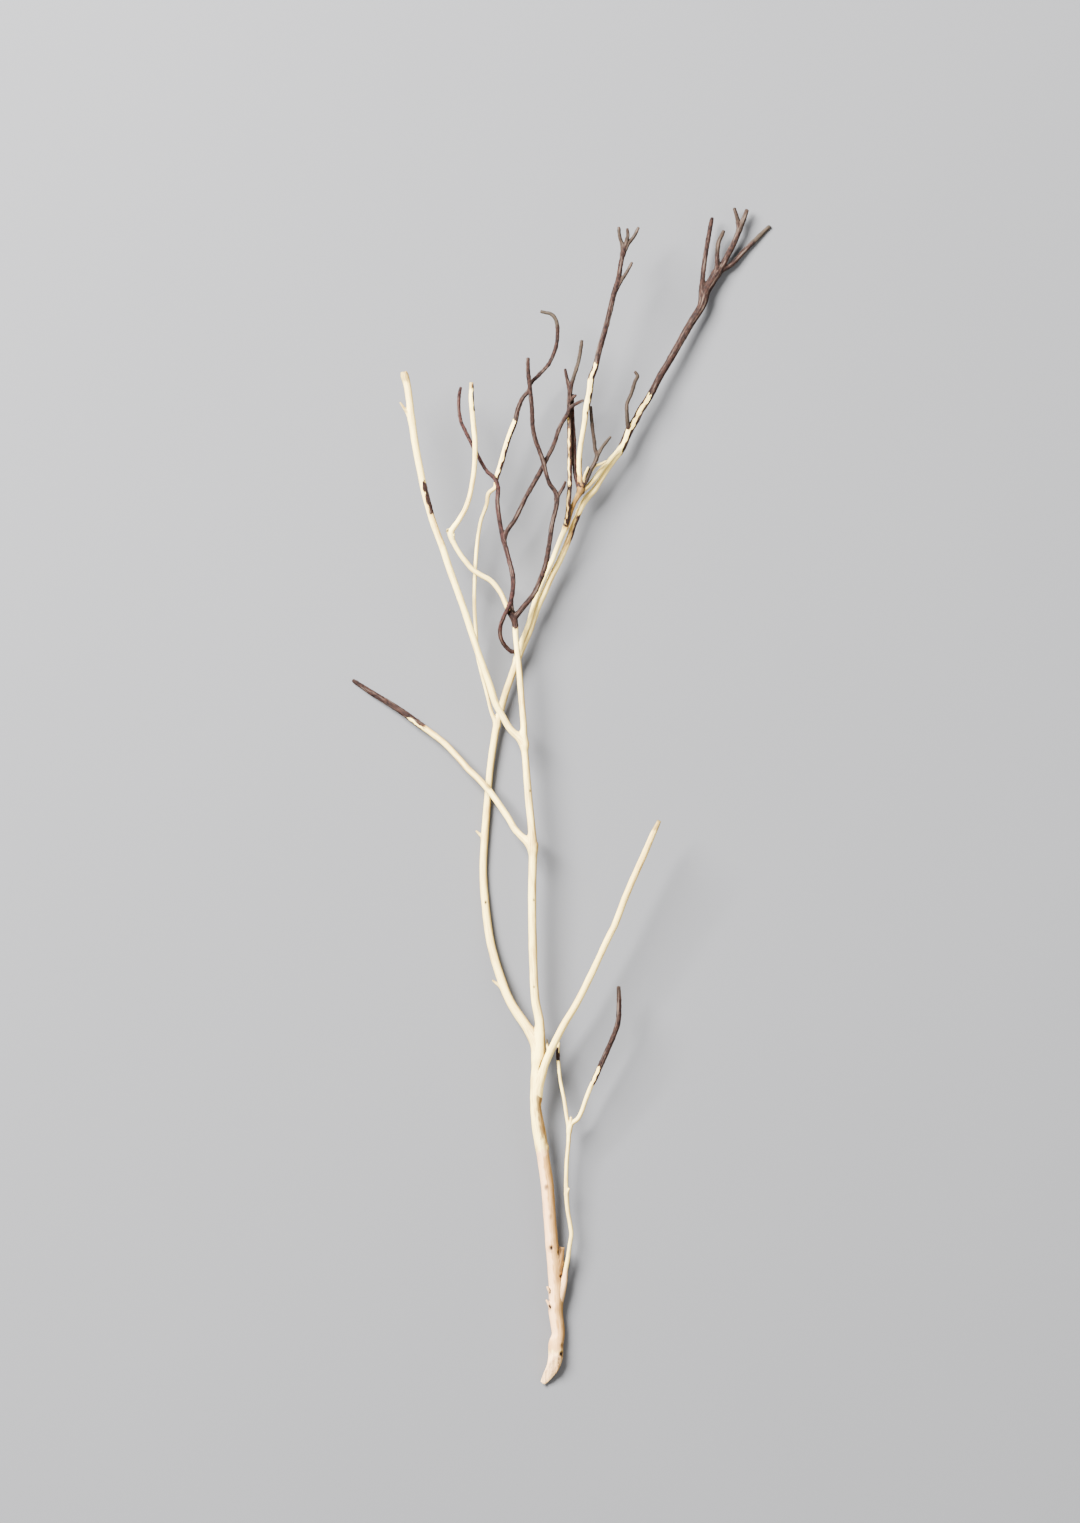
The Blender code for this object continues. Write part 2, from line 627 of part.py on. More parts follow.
def tube(name, curve, grown=0.0):
    """A closed faceted tube along the curve, as a new object. grown is added all round it."""
    thin = max(thickness for _, thickness in curve) < THIN_LIMB
    sides = THIN_SIDES if thin else THICK_SIDES
    heading = directions(curve)
    shape = bmesh.new()
    rings = []
    for i in ring_points(curve):
        place, thickness = curve[i]
        side = heading[i].cross(Vector((0, 0, 1))).normalized()
        top = side.cross(heading[i])
        radius = thickness / 2 + grown
        turns = [2 * math.pi * (k + 0.5) / sides for k in range(sides)]
        spots = [place + radius * (math.cos(turn) * side + math.sin(turn) * top) for turn in turns]
        rings.append([shape.verts.new(spot * MM) for spot in spots])
    for low, high in zip(rings, rings[1:]):
        for k in range(sides):
            following = (k + 1) % sides
            shape.faces.new((low[k], low[following], high[following], high[k]))
    shape.faces.new(list(reversed(rings[0])))
    shape.faces.new(rings[-1])
    bmesh.ops.recalc_face_normals(shape, faces=shape.faces)
    bmesh.ops.triangulate(shape, faces=shape.faces)
    return new_object(name, shape)


def new_object(name, shape):
    mesh = bpy.data.meshes.new(name)
    shape.to_mesh(mesh)
    shape.free()
    mesh.shade_smooth()
    part = bpy.data.objects.new(name, mesh)
    bpy.context.collection.objects.link(part)
    return part


def hidden(helper):
    """Marks a cutter, or a twig that a union takes up."""
    helper.hide_render = True
    helper.display_type = "WIRE"
    return helper


def combine(part, helper, operation):
    step = part.modifiers.new(helper.name, "BOOLEAN")
    step.operation = operation
    step.solver = "EXACT"
    step.object = hidden(helper)


def taken_stretch(curve, start, end):
    """The part of a curve from start to end, as distances towards the crown. None leaves that end whole."""
    low = 0 if start is None else next(i for i, (p, _) in enumerate(curve) if p.y > start)
    high = len(curve) if end is None else next(i for i, (p, _) in enumerate(curve) if p.y > end)
    taken = curve[low : high + 1]
    if start is not None:
        first, thickness = taken[0]
        taken[0] = (first + GAP * (taken[1][0] - first).normalized(), thickness)
    return taken


def wood(name):
    colour, roughness = FINISHES.get(name, (PEELED, 0.55))
    material = bpy.data.materials.new(name + "_wood")
    material.use_nodes = True
    shader = material.node_tree.nodes["Principled BSDF"]
    shader.inputs["Base Color"].default_value = (*colour, 1.0)
    shader.inputs["Roughness"].default_value = roughness
    shader.inputs["Metallic"].default_value = 0.0
    return material


def limb(name, route, start, end, stops_at):
    curve = taken_stretch(smooth_curve(ROUTES[route]), start, end)
    part = tube(name, curve)
    part.data.materials.append(wood(name))
    for i, rows in enumerate(FUSED.get(name, [])):
        combine(part, tube(f"{name}_twig_{i + 1}", smooth_curve(rows)), "UNION")
    for other in stops_at:
        cutter = tube(f"{name}_clear_of_{other}", smooth_curve(ROUTES[other]), grown=GAP)
        combine(part, cutter, "DIFFERENCE")
    return part


def torn_face():
    """A block above the slanting tear at the butt."""
    shape = bmesh.new()
    bmesh.ops.create_cube(shape, size=1.0)
    run = TEAR_START - TEAR_END
    rise = TEAR_TOP - TEAR_TIP
    slope = math.atan2(rise, run)
    width, depth = 40, 20
    length = 2 * math.hypot(run, rise)
    size = Matrix.Diagonal((width * MM, length * MM, depth * MM, 1))
    middle = Vector((0, (TEAR_START + TEAR_END) / 2, (TEAR_TOP + TEAR_TIP) / 2))
    outward = Vector((0, -math.sin(slope), math.cos(slope)))
    place = Matrix.Translation((middle + outward * depth / 2) * MM)
    shape.transform(place @ Matrix.Rotation(slope, 4, "X") @ size)
    return new_object("torn_face", shape)


def hollow(name, top, bottom, width):
    """A small pit, widest at its mouth."""
    rows = [(*top, width), (*[(a + b) / 2 for a, b in zip(top, bottom)], width * 0.8), (*bottom, width * 0.4)]
    return tube(name, smooth_curve(rows))


def main():
    for old in list(bpy.data.objects):
        bpy.data.objects.remove(old, do_unlink=True)
    parts = {}
    for name, route, start, end, stops_at in LIMBS:
        parts[name] = limb(name, route, start, end, stops_at)
    stem = parts["butt_stem"]
    combine(stem, torn_face(), "DIFFERENCE")
    combine(stem, hollow("stub_hollow", (12.4, 140, 15.8), (11.2, 130, 14.0), 3.4), "DIFFERENCE")
    combine(stem, hollow("knot_hole", (1.0, 134, 19.0), (1.6, 136.6, 14.6), 3.6), "DIFFERENCE")
    bpy.context.view_layer.update()
    centre_on_origin(parts.values())


def centre_on_origin(parts):
    """Moves everything so that the middle of the whole branch's box, at its foot, is the origin."""
    spots = []
    view = bpy.context.evaluated_depsgraph_get()
    for part in parts:
        seen = part.evaluated_get(view)
        spots += [vertex.co.copy() for vertex in seen.data.vertices]
    lowest = Vector(min(spot[k] for spot in spots) for k in range(3))
    highest = Vector(max(spot[k] for spot in spots) for k in range(3))
    middle = (lowest + highest) / 2
    shift = Matrix.Translation((-middle.x, -middle.y, -lowest.z))
    for thing in bpy.data.objects:
        thing.data.transform(shift)


main()
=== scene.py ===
"""A fallen tree branch, mostly peeled of its bark, lying on a pale floor. Blender 4.5, metres, +Z up.

Every limb follows the centre line that the part's own source gives it. It is built as a dense closed tube,
and fillets join it to the limb that it grows from. Paint layers kept on the vertices say where bark, stain
and dark hollows are, and the material turns them into wood and bark.
"""

import math

import bpy
import numpy as np
from bpy.props import FloatProperty, FloatVectorProperty, IntProperty, PointerProperty
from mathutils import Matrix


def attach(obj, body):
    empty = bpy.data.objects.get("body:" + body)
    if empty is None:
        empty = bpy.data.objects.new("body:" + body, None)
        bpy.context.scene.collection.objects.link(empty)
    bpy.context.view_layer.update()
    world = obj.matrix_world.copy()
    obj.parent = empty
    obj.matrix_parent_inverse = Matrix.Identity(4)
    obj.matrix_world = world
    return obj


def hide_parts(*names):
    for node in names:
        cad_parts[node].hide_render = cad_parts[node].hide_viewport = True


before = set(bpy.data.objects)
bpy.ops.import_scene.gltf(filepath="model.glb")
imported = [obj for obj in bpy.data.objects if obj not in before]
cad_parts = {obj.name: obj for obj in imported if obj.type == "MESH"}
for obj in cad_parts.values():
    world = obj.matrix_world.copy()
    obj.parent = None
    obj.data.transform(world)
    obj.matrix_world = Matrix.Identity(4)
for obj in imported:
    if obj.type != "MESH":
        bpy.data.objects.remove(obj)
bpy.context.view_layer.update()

bl_info = {
    "name": "Fallen tree branch",
    "version": (1, 0, 0),
    "blender": (4, 5, 0),
    "location": "3D View > Sidebar > Branch",
    "description": "Builds a fallen tree branch, mostly peeled of its bark, and the stage that it lies on",
    "category": "Add Mesh",
}

MM = 0.001

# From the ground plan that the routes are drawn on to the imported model, in millimetres.
PLAN_SHIFT = (-11.4201, -588.1637, -0.1339)

# The centre lines of the limbs, as in the part's source but a little slimmer at the torn butt. Each row
# is (across, along, height, thickness) in millimetres, and along runs from the butt to the crown.
ROUTES = {
    "stem": [
        (-7.2, 0.8, 5.6, 5.4), (-3.6, 6, 6, 8.6), (2.4, 16, 6.6, 12.2), (5.4, 26, 7.1, 14.0),
        (6, 39, 7.3, 14.8), (8.3, 49, 6.7, 13.2), (7.7, 58, 6.9, 13.8), (5.5, 73, 7.6, 13.8),
        (5.4, 84, 8, 13.2), (5.2, 95, 8.6, 12.6), (3.3, 124, 10.6, 12.5), (1.5, 144, 12, 12.7),
        (-0.7, 174, 14.2, 12.6), (-3.2, 204, 16.4, 12.5), (-6.5, 224, 17.8, 12.2), (-9.6, 245, 19, 12.9),
        (-11.7, 257, 19.8, 12.9), (-13.7, 274, 20.8, 11.2), (-14.3, 288, 21.6, 10.5), (-14, 314, 23, 9),
        (-11, 328, 23.8, 10), (-9.3, 344, 24.6, 8.8), (-10.7, 364, 25.6, 8.9), (-14.5, 384, 26.6, 8.3),
        (-17, 434, 28.4, 8.1), (-17.8, 484, 29.4, 8), (-17.4, 514, 29.9, 7.9), (-17, 537, 30.2, 8.3),
        (-18.5, 559, 30.5, 7.4), (-21, 584, 30.8, 7.2), (-24, 619, 31.1, 6.7), (-26, 642, 31.3, 7.1),
        (-26.3, 659, 31.4, 6), (-28.3, 684, 31.5, 5.9), (-31.2, 719, 31.8, 5.7), (-33.9, 744, 32.2, 5.4),
        (-35.8, 764, 32.8, 5.5), (-41.8, 774.8, 33.6, 5.1), (-50, 792, 35.2, 4.9), (-59, 803, 36.6, 4.9),
        (-69.9, 809.3, 38.2, 4.9), (-77, 814, 39.4, 4.9), (-84, 822, 41, 4.9), (-90, 830, 42.4, 4.9),
        (-95.4, 839.3, 43.8, 5), (-99.2, 850, 45.2, 5.3), (-91.2, 863.5, 46.8, 4.9),
        (-85.6, 872.8, 47.8, 4.9), (-81, 885, 49, 4.8), (-77, 904, 50.6, 4.8), (-75.1, 923, 52.2, 4.8),
        (-75, 943, 53.8, 4.8), (-76.6, 961.5, 55.2, 4.8), (-78.6, 983, 56.8, 4.7),
        (-78.4, 1000.5, 58, 4.2),
    ],
    "left": [
        (-12, 326, 23, 9.6), (-13.8, 337, 21.8, 9.8), (-21.4, 354, 19.2, 9.8), (-39.3, 381.4, 14.8, 8.8),
        (-49.2, 406, 11.2, 8.5), (-59, 440, 7.2, 8.1), (-65.1, 484, 4.2, 7.8), (-66.7, 517, 3.6, 7.2),
        (-65, 550, 4, 7.2), (-62.8, 579, 5, 7), (-60, 614, 6.4, 6.7), (-56.5, 639, 7.4, 6.7),
        (-53, 660, 8.2, 7), (-50, 671, 8.6, 6.9), (-45.3, 688, 9.2, 6.7), (-37, 712, 10.2, 6.7),
        (-30.6, 730, 10.9, 6.8), (-27, 738, 11.2, 6.6), (-20, 754.4, 11.8, 6.5), (-12.7, 776, 12.6, 6.5),
        (-5.5, 792, 13.2, 6.5), (1.6, 808, 13.9, 6.4), (9.8, 824, 14.7, 6.3), (20, 848, 16.2, 6),
        (22.6, 857, 16.8, 5.8), (27.3, 868, 17.5, 5.6), (33.2, 881, 18.2, 6.4), (38.2, 888, 18.6, 6.6),
        (44, 893.8, 18.8, 6.2), (50.2, 903.7, 18.9, 5.3), (57, 914, 18.9, 5.2), (63.6, 923.6, 18.8, 5.6),
        (71, 934.5, 18.6, 6.8), (79, 953.4, 18.2, 7.4), (85.7, 964.2, 17.9, 6.8), (90.4, 973.6, 17.6, 6.7),
        (98, 985, 17.2, 6.5), (112, 1011.4, 16.2, 6.2), (116.4, 1018.2, 15.8, 6.1),
        (125.7, 1034.4, 14.8, 6.5), (140, 1059.6, 12.8, 7.2), (151.8, 1079, 11, 7.8),
        (156, 1093.3, 9.8, 8.9), (160.7, 1101.3, 9, 8.6), (165.5, 1109.3, 8.4, 8.2),
        (169.5, 1115.5, 8.2, 7), (173.4, 1121, 8.4, 5.6), (179.9, 1133.2, 8.9, 5.2),
        (185.5, 1144.3, 9.3, 5), (191, 1158.7, 9.7, 4.8), (195, 1168.3, 9.9, 3.9), (197, 1174.2, 9.9, 3),
    ],
    "right": [
        (-12.6, 286, 21.8, 6.6), (-10.4, 297, 25.4, 7.2), (-7.6, 309, 28.6, 7.5), (-4.8, 320, 30.6, 7.4),
        (6.3, 344.7, 33.4, 7.1), (15.8, 362.5, 35.4, 7), (25.7, 378.6, 37.2, 6.9), (45, 417.4, 41.2, 6.7),
        (59.9, 449.6, 44.4, 6.6), (64.5, 458.6, 45.4, 6.6), (76.2, 489, 48.4, 6.6), (89.4, 519, 51.4, 6.4),
        (92.9, 526.6, 52.2, 6.3), (102, 548, 54.2, 5.8), (109, 563, 55.6, 4),
    ],
    "left_side": [
        (-17.2, 535.5, 30, 7), (-22, 541, 29, 6.9), (-31, 550.2, 26.6, 6.5), (-35.6, 555.6, 25.2, 6.4),
        (-42.1, 566.6, 23.4, 6.3), (-57, 588.4, 19.8, 6.2), (-61.6, 594.1, 19, 6.5),
        (-70.8, 604.4, 17.4, 6.1), (-80.8, 614, 15.6, 6.1), (-90, 624.3, 13.6, 6), (-104, 639.4, 11.2, 6),
        (-119.4, 651.6, 9.1, 5.9), (-134, 662.2, 7.4, 5.8), (-145, 670.4, 6.2, 5.5),
        (-164.1, 682.7, 4.2, 5.1), (-179.4, 692, 2.6, 4.7), (-188, 697.6, 2.1, 4.2), (-197, 703.5, 1.6, 3),
    ],
    "upper_left": [
        (-25.6, 640, 31.3, 6.8), (-30, 645, 31.8, 6.9), (-39.8, 655, 32.8, 6.6), (-46.7, 666.4, 34, 6.6),
        (-53.6, 679.1, 35.4, 6.6), (-61, 701.1, 38, 6.6), (-71.2, 729.7, 41.6, 6.6),
        (-80.6, 758.5, 45, 6.5), (-91, 789.2, 48.6, 6.5), (-99.8, 813.4, 51.4, 6.6), (-108, 838, 54, 6.7),
        (-117.4, 863.7, 56.6, 6.7), (-124.8, 890.1, 59, 6.8), (-129.3, 912.4, 61, 6.8),
        (-133.7, 934.7, 62.8, 6.8), (-138.1, 964.1, 65.2, 6.9), (-140.4, 984, 66.8, 6.9),
        (-142.7, 999, 67.8, 7.3), (-145.2, 1008, 68.4, 8.2), (-145.8, 1010.6, 68.6, 6.6),
    ],
    "thin_pale": [
        (-52, 658, 8.2, 4), (-55.4, 664, 9.8, 3.9), (-59.3, 674.5, 12, 3.5), (-62.5, 688, 14.2, 3.2),
        (-69.2, 713.4, 17.6, 3.2), (-73.3, 732, 20, 3.2), (-73.7, 748, 21.8, 3.2), (-75.5, 776, 25, 3.4),
        (-75.4, 801, 27.6, 3.4), (-73.4, 834, 31, 3.5), (-69.2, 862.4, 34, 3.4), (-63.2, 879.8, 35.8, 3.7),
        (-61.2, 890.5, 36.8, 4.2), (-54.8, 896.6, 37.6, 3.9), (-53.8, 905, 38.4, 4.4),
        (-49, 920.2, 39.6, 5), (-43.4, 940, 40.8, 5), (-39.2, 952, 41.4, 5.2), (-34.4, 964.2, 42, 4.9),
        (-32.2, 974.2, 42.5, 4.3), (-27, 986.2, 43.2, 3.6), (-22, 992, 43.6, 3.4),
        (-18.5, 1001.4, 44.2, 3.4), (-13.2, 1006.7, 44.7, 3.3), (-7, 1013, 45.4, 3.2),
        (-1.7, 1019, 46.1, 3.2), (2.9, 1028.1, 47.2, 3.2), (6.3, 1038.1, 48.4, 3.2),
        (7.5, 1049.6, 49.8, 3.2), (7, 1060, 51, 3.2), (4.4, 1066.4, 51.8, 3.1), (-0.2, 1070, 52.3, 3),
        (-4.8, 1070.8, 52.6, 2.8), (-9.3, 1072.1, 52.8, 2.4),
    ],
    "looping": [
        (-31.6, 731, 11, 3.6), (-34.6, 732.2, 13, 3.5), (-38.6, 732.6, 15.6, 3.5), (-45, 738.3, 20, 3.5),
        (-49.3, 746.3, 24.8, 3.5), (-49.6, 757, 30.6, 3.5), (-46.6, 766, 35.6, 3.5), (-43, 774, 39.2, 3.6),
        (-39.5, 782, 41.2, 3.9), (-37, 797, 42.4, 4.1), (-37, 806, 42.8, 4.2), (-38.6, 815, 43, 4.2),
        (-41, 824, 43.2, 4), (-45, 839, 43.4, 4.1), (-47.4, 848, 43.6, 4), (-50.7, 864.7, 43.8, 3.8),
        (-52.6, 882, 44.2, 3.8), (-52.1, 897, 44.6, 3.8), (-55.6, 905.6, 44.4, 3.5),
        (-63.1, 912.6, 43.6, 3.2), (-69, 922.1, 42.8, 3.1), (-73, 930, 42.2, 3.1), (-79, 941.5, 41.4, 3),
        (-84.5, 952.5, 40.8, 3), (-89, 962.5, 40.2, 2.9), (-91, 975, 39.6, 2.8), (-90.8, 989, 39.2, 2.6),
        (-89.2, 996.2, 39, 2.2),
    ],
    "crossing": [
        (-46.4, 843, 43.4, 3.8), (-43.4, 852, 43.6, 3.9), (-35.6, 863.6, 43.6, 3.8),
        (-28.1, 878.5, 43.4, 3.8), (-24, 887, 43.2, 3.8), (-10.5, 910.7, 42.4, 4), (-4.8, 922.2, 42, 3.7),
        (3.7, 939, 41.8, 3.5), (9.5, 956.1, 41.7, 3.5), (17, 969.2, 41.6, 3.3), (20, 975.4, 41.6, 3.1),
        (27.9, 981, 41.8, 2.7), (33.4, 983.4, 42.2, 2.3),
    ],
    "dark_right": [
        (-36.2, 766, 32.8, 4.6), (-33.2, 769, 33.2, 4.8), (-26.1, 777.6, 34.2, 4.5),
        (-16.2, 790, 35.6, 4.4), (-10.6, 802, 36.8, 4.3), (-4.6, 818.6, 38.2, 4.4), (-1, 838, 39.6, 4.3),
        (2, 859, 41, 4.2), (6, 876, 42.2, 4.1), (7, 885, 43, 4.5), (5.4, 891.6, 43.9, 3.9),
        (-0.7, 900.8, 45.4, 3.5), (-4.7, 913.5, 47, 3.6), (-6.7, 922.1, 47.8, 4),
        (-10.5, 932.7, 48.6, 3.8), (-14.3, 943.2, 49.4, 4), (-17.2, 956.6, 50.4, 3.9),
        (-18.1, 975.7, 51.8, 3.8), (-20, 995, 53.2, 3.7), (-22, 1014, 54.4, 3.4), (-22, 1025, 55, 3),
    ],
    "inner": [
        (-33.6, 726, 11, 4.6), (-30.8, 735, 14, 4.8), (-27.4, 745, 15.6, 4.7), (-21.6, 759.7, 17, 4.7),
        (-16.2, 779.4, 18.2, 4.7), (-10, 797.2, 19.2, 4.7), (-3, 812.4, 20, 4.7), (2.5, 824, 20.8, 4.8),
        (8.2, 839, 22, 4.8), (13.6, 852, 23.2, 5), (17.6, 862, 24.4, 5.2), (20.8, 872, 25.8, 5),
        (24.6, 882, 27.2, 5), (29.4, 891, 28.8, 6.2), (30.6, 896, 30.2, 6), (30.2, 902, 32.4, 5.2),
        (29, 915, 36.4, 5), (30, 933, 41, 4.9), (32.9, 951, 45, 4.7), (35, 964, 47.4, 5),
        (35.9, 973.6, 49, 5.4), (39.5, 991.5, 51.4, 5.8), (41.3, 1006, 52.8, 5.8), (45.2, 1016, 53.6, 5.3),
        (49.3, 1033.5, 54.9, 5.1), (54.4, 1051, 56.2, 5), (59, 1069, 57.5, 4.9), (63.5, 1088.3, 58.9, 4.8),
        (67.6, 1101.4, 59.9, 4.8), (70.7, 1119, 61.2, 4.1), (73.3, 1132, 62.1, 4.2), (75.4, 1139, 63, 3.4),
        (77.6, 1147.3, 64, 3), (77.2, 1154.2, 64.8, 2.2),
    ],
    "grey": [
        (15.6, 856, 23.6, 4.2), (17, 864, 27, 4.3), (18.2, 874, 30.4, 4.2), (18.8, 885, 32.6, 4.1),
        (19.6, 896, 33.8, 4), (19.8, 906, 34.6, 4), (19.8, 929, 35.6, 4.1), (19.6, 952, 36.4, 4),
        (19, 978, 37, 3.8), (20.6, 996, 37.8, 3.9), (24.6, 1009.6, 38.6, 3.3), (28.6, 1023, 39.6, 3.2),
        (31.2, 1038, 40.6, 2.9), (31.8, 1043, 40.9, 2.3),
    ],
    "red": [
        (30.2, 893, 29, 3.6), (27.6, 901, 30, 3.8), (25.2, 910.4, 30.2, 3.7), (24.3, 926, 30.4, 3.6),
        (24.1, 944, 30.8, 3.5), (22.6, 964, 31.3, 3.3), (22.2, 978, 32, 3.2), (22.6, 989, 32.8, 2.6),
    ],
    "twin_strand": [
        (30.6, 892.6, 29, 4.2), (35.8, 895.8, 27.6, 4.5), (43.2, 903.7, 26, 4.7), (51.2, 913.9, 24.8, 4.7),
        (58.6, 922.8, 24, 4.6), (66, 931, 22.8, 4.3), (71.6, 937, 20.2, 4.2),
    ],
    "tangled": [
        (31, 896, 30.6, 3.6), (35.4, 902, 31.4, 3.7), (40.7, 914, 33.6, 3.5), (45, 922, 35.4, 3.5),
        (47, 928, 36.6, 3.4), (45, 934.6, 37.6, 3.2), (44.3, 941.7, 38.4, 3.1), (43, 951.3, 39.4, 3.1),
        (41.6, 964, 40.4, 3), (40.6, 977, 41.2, 2.5),
    ],
    "hooked": [
        (80, 952.6, 18.4, 3.6), (78, 958.4, 21.8, 3.6), (77, 969.2, 26.6, 3.2), (77, 980, 30.4, 3.1),
        (81.4, 990.6, 33.6, 3.1), (85, 1002.2, 36.6, 3.1), (87.5, 1008, 38, 2.8), (85, 1012, 38.6, 2.3),
    ],
    "low_side": [
        (7.4, 78, 8.2, 6), (11.6, 90, 9.6, 6.6), (14.4, 101, 11, 5.6), (15.4, 111.6, 12.4, 4.7),
        (18.1, 126, 14, 4.3), (19.8, 138.4, 15, 3.9), (21.4, 150, 16, 4), (20.3, 159, 16.6, 3.9),
        (17.9, 173, 17.6, 3.9), (16.4, 191, 18.8, 4.2), (16.4, 211, 20, 3.8), (17, 226, 20.9, 3.8),
        (18.4, 240, 21.8, 3.8), (19.6, 255, 22.8, 4.4), (22, 260.4, 23.2, 4.4), (27.7, 265, 24.2, 4.3),
        (32, 273, 25.8, 4.2), (35.7, 284, 27.8, 4.3), (40, 295.2, 29.8, 4.5), (45.5, 307, 31.6, 4.7),
        (50.9, 319.4, 33.4, 4.6), (57, 333, 35.4, 4.5), (63.4, 348, 37.6, 4.5), (67.9, 361.3, 39.4, 4.5),
        (69, 379, 41.4, 4.3), (68.5, 397, 43.2, 3.4),
    ],
}

# Small twigs, tips and spurs, each under a name that starts with the route that it grows from.
SPURS = {
    "stem.hollow_stub": [
        (5.6, 106, 9.4, 5.4), (9.2, 116, 11.6, 5.6), (11, 126, 13.4, 5.2), (12, 136, 15, 4.9),
    ],
    "stem.thorn_low": [(4.6, 70, 8, 4), (0.4, 77, 11, 3.2), (-3.4, 83.4, 12.6, 1.8)],
    "stem.thorn_high": [(4, 86, 8.4, 4), (-0.2, 92.4, 12, 3), (-2.6, 96.8, 13, 1.8)],
    "right.spur": [(0.4, 331.4, 32, 3), (-2.4, 336.6, 31.2, 2.2), (-3.1, 344.4, 31, 1.5)],
    "left.spur_low": [(-47.4, 396, 12.4, 3.8), (-52.4, 399.6, 13.6, 2.8), (-57.2, 403.4, 14.4, 1.7)],
    "left.spur_high": [(-65.4, 545.6, 4, 3.8), (-69.8, 549.2, 5.4, 2.8), (-73.7, 552.8, 6.2, 1.7)],
    "upper_left.spur": [
        (-137.8, 962, 65.2, 4.4), (-141.8, 969.6, 66.6, 3.6), (-146, 975.6, 67.6, 2.7),
        (-149.4, 980.7, 68.2, 1.7),
    ],
    "stem.elbow_stub": [(-97, 848, 44.8, 4.4), (-102.8, 853.4, 45.6, 3.4)],
    "dark_right.short_arm": [
        (5.6, 884, 43, 3.4), (10, 891.4, 43, 3), (13.6, 897.2, 42.6, 2.8), (15.4, 902, 42.2, 2),
    ],
    "dark_right.tucked_arm": [
        (-34.2, 767.4, 32.8, 3.6), (-37.6, 774, 29.6, 3), (-38.2, 782, 28.6, 2.8), (-38, 792, 28.2, 2.2),
    ],
    "grey.arm": [(20, 993, 37.6, 3.6), (17, 1005, 38.2, 3), (15.2, 1014.5, 38.8, 2.2)],
    "grey.bud": [(19.6, 983, 37.2, 3), (24.2, 987.4, 38.2, 2.4), (26, 988.6, 38.4, 1.8)],
    "inner.side_tip": [
        (66.2, 1094.4, 59.4, 3.8), (69.8, 1101, 60.4, 3.3), (76, 1110, 61.4, 2.8),
        (81.8, 1120.5, 62.4, 2.1),
    ],
    "inner.left_tip": [
        (73, 1130, 62, 3.6), (71.8, 1139, 62.8, 3.1), (69.5, 1147.3, 63.6, 2.8), (68.6, 1155.7, 64.4, 2.1),
    ],
    "inner.right_tip": [
        (73.2, 1130, 62, 3.6), (78.3, 1139.6, 62.6, 3.1), (83.7, 1146.5, 63, 2.8),
        (88.3, 1155.5, 63.4, 2.1),
    ],
    "tangled.long_arm": [
        (46.4, 926, 36.2, 3.2), (49.6, 932.4, 37.4, 3), (54, 939, 38.2, 2.8), (60.5, 947, 39.2, 2),
    ],
    "tangled.right_arm": [
        (39.8, 912, 33.2, 3), (44.6, 917.6, 33.4, 2.9), (51.4, 920.2, 32.6, 2.7), (55.9, 922.5, 31.8, 2.1),
    ],
    "tangled.left_arm": [
        (33.6, 899.6, 31.4, 3), (33.8, 905, 33.8, 2.6), (35.8, 911, 35.8, 2.5), (38.2, 916.4, 37, 2),
    ],
    "low_side.left_arm": [
        (19.4, 253, 22.6, 3.8), (17, 266, 22.8, 3.5), (14.3, 284, 22.9, 3.2), (10.7, 301.5, 22.8, 3.1),
        (8.5, 321, 22.6, 3.2), (7.8, 330, 22.4, 3.2), (8.8, 341, 22.2, 2.6),
    ],
    "low_side.bud_high": [(19.8, 256, 23.2, 3.4), (21, 266.4, 25.2, 2.1)],
    "low_side.bud_low": [(16.4, 190, 18.8, 3), (18.8, 195, 20.6, 2.2)],
    "left.left_tip": [
        (152.6, 1085, 10.6, 6.4), (152, 1094, 11.2, 5), (152.4, 1103, 11.8, 4.4),
        (154.4, 1121.2, 12.8, 4.1), (157.5, 1141.2, 14, 4), (161.5, 1163, 15.2, 3.5),
        (162.2, 1166, 15.4, 2.8),
    ],
    "left.middle_tip": [
        (167, 1110, 9, 5), (167.4, 1120, 10.8, 4.2), (167.5, 1133.2, 12.6, 3.8), (168.7, 1142, 13.8, 3.7),
        (171.9, 1149.1, 14.8, 3.4), (173.9, 1153, 15.2, 2.6),
    ],
    "left.fork_tip": [(189.6, 1155, 9.6, 4.2), (187, 1167.5, 10.8, 3.4), (184.5, 1175.8, 11.6, 2.6)],
    "left.right_tip": [
        (166.4, 1110.4, 8, 5.4), (172.4, 1114.8, 7.2, 4.6), (178.3, 1117.4, 6.4, 4),
        (184.7, 1122.8, 5.4, 3.9), (194.2, 1133.2, 3.9, 3.9), (202.2, 1141.2, 2.8, 3.9),
        (211.8, 1150.7, 1.9, 3.7), (219.7, 1158, 1.5, 2.9),
    ],
}

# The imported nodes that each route's piece stands for.
NODES = {
    "stem": ["butt_stem", "centre_limb", "kinked_branch"],
    "left": ["left_limb", "outer_twin_limb", "crown_limb"],
    "inner": ["inner_twin_limb", "upright_limb"],
    "right": ["right_limb"],
    "left_side": ["left_side_branch"],
    "upper_left": ["upper_left_branch"],
    "low_side": ["low_side_twig"],
    "thin_pale": ["thin_pale_twig"],
    "looping": ["looping_twig"],
    "crossing": ["crossing_twig"],
    "dark_right": ["dark_right_twig"],
    "grey": ["grey_twig"],
    "red": ["red_twig"],
    "twin_strand": ["twin_strand"],
    "tangled": ["tangled_twigs"],
    "hooked": ["hooked_twig"],
}

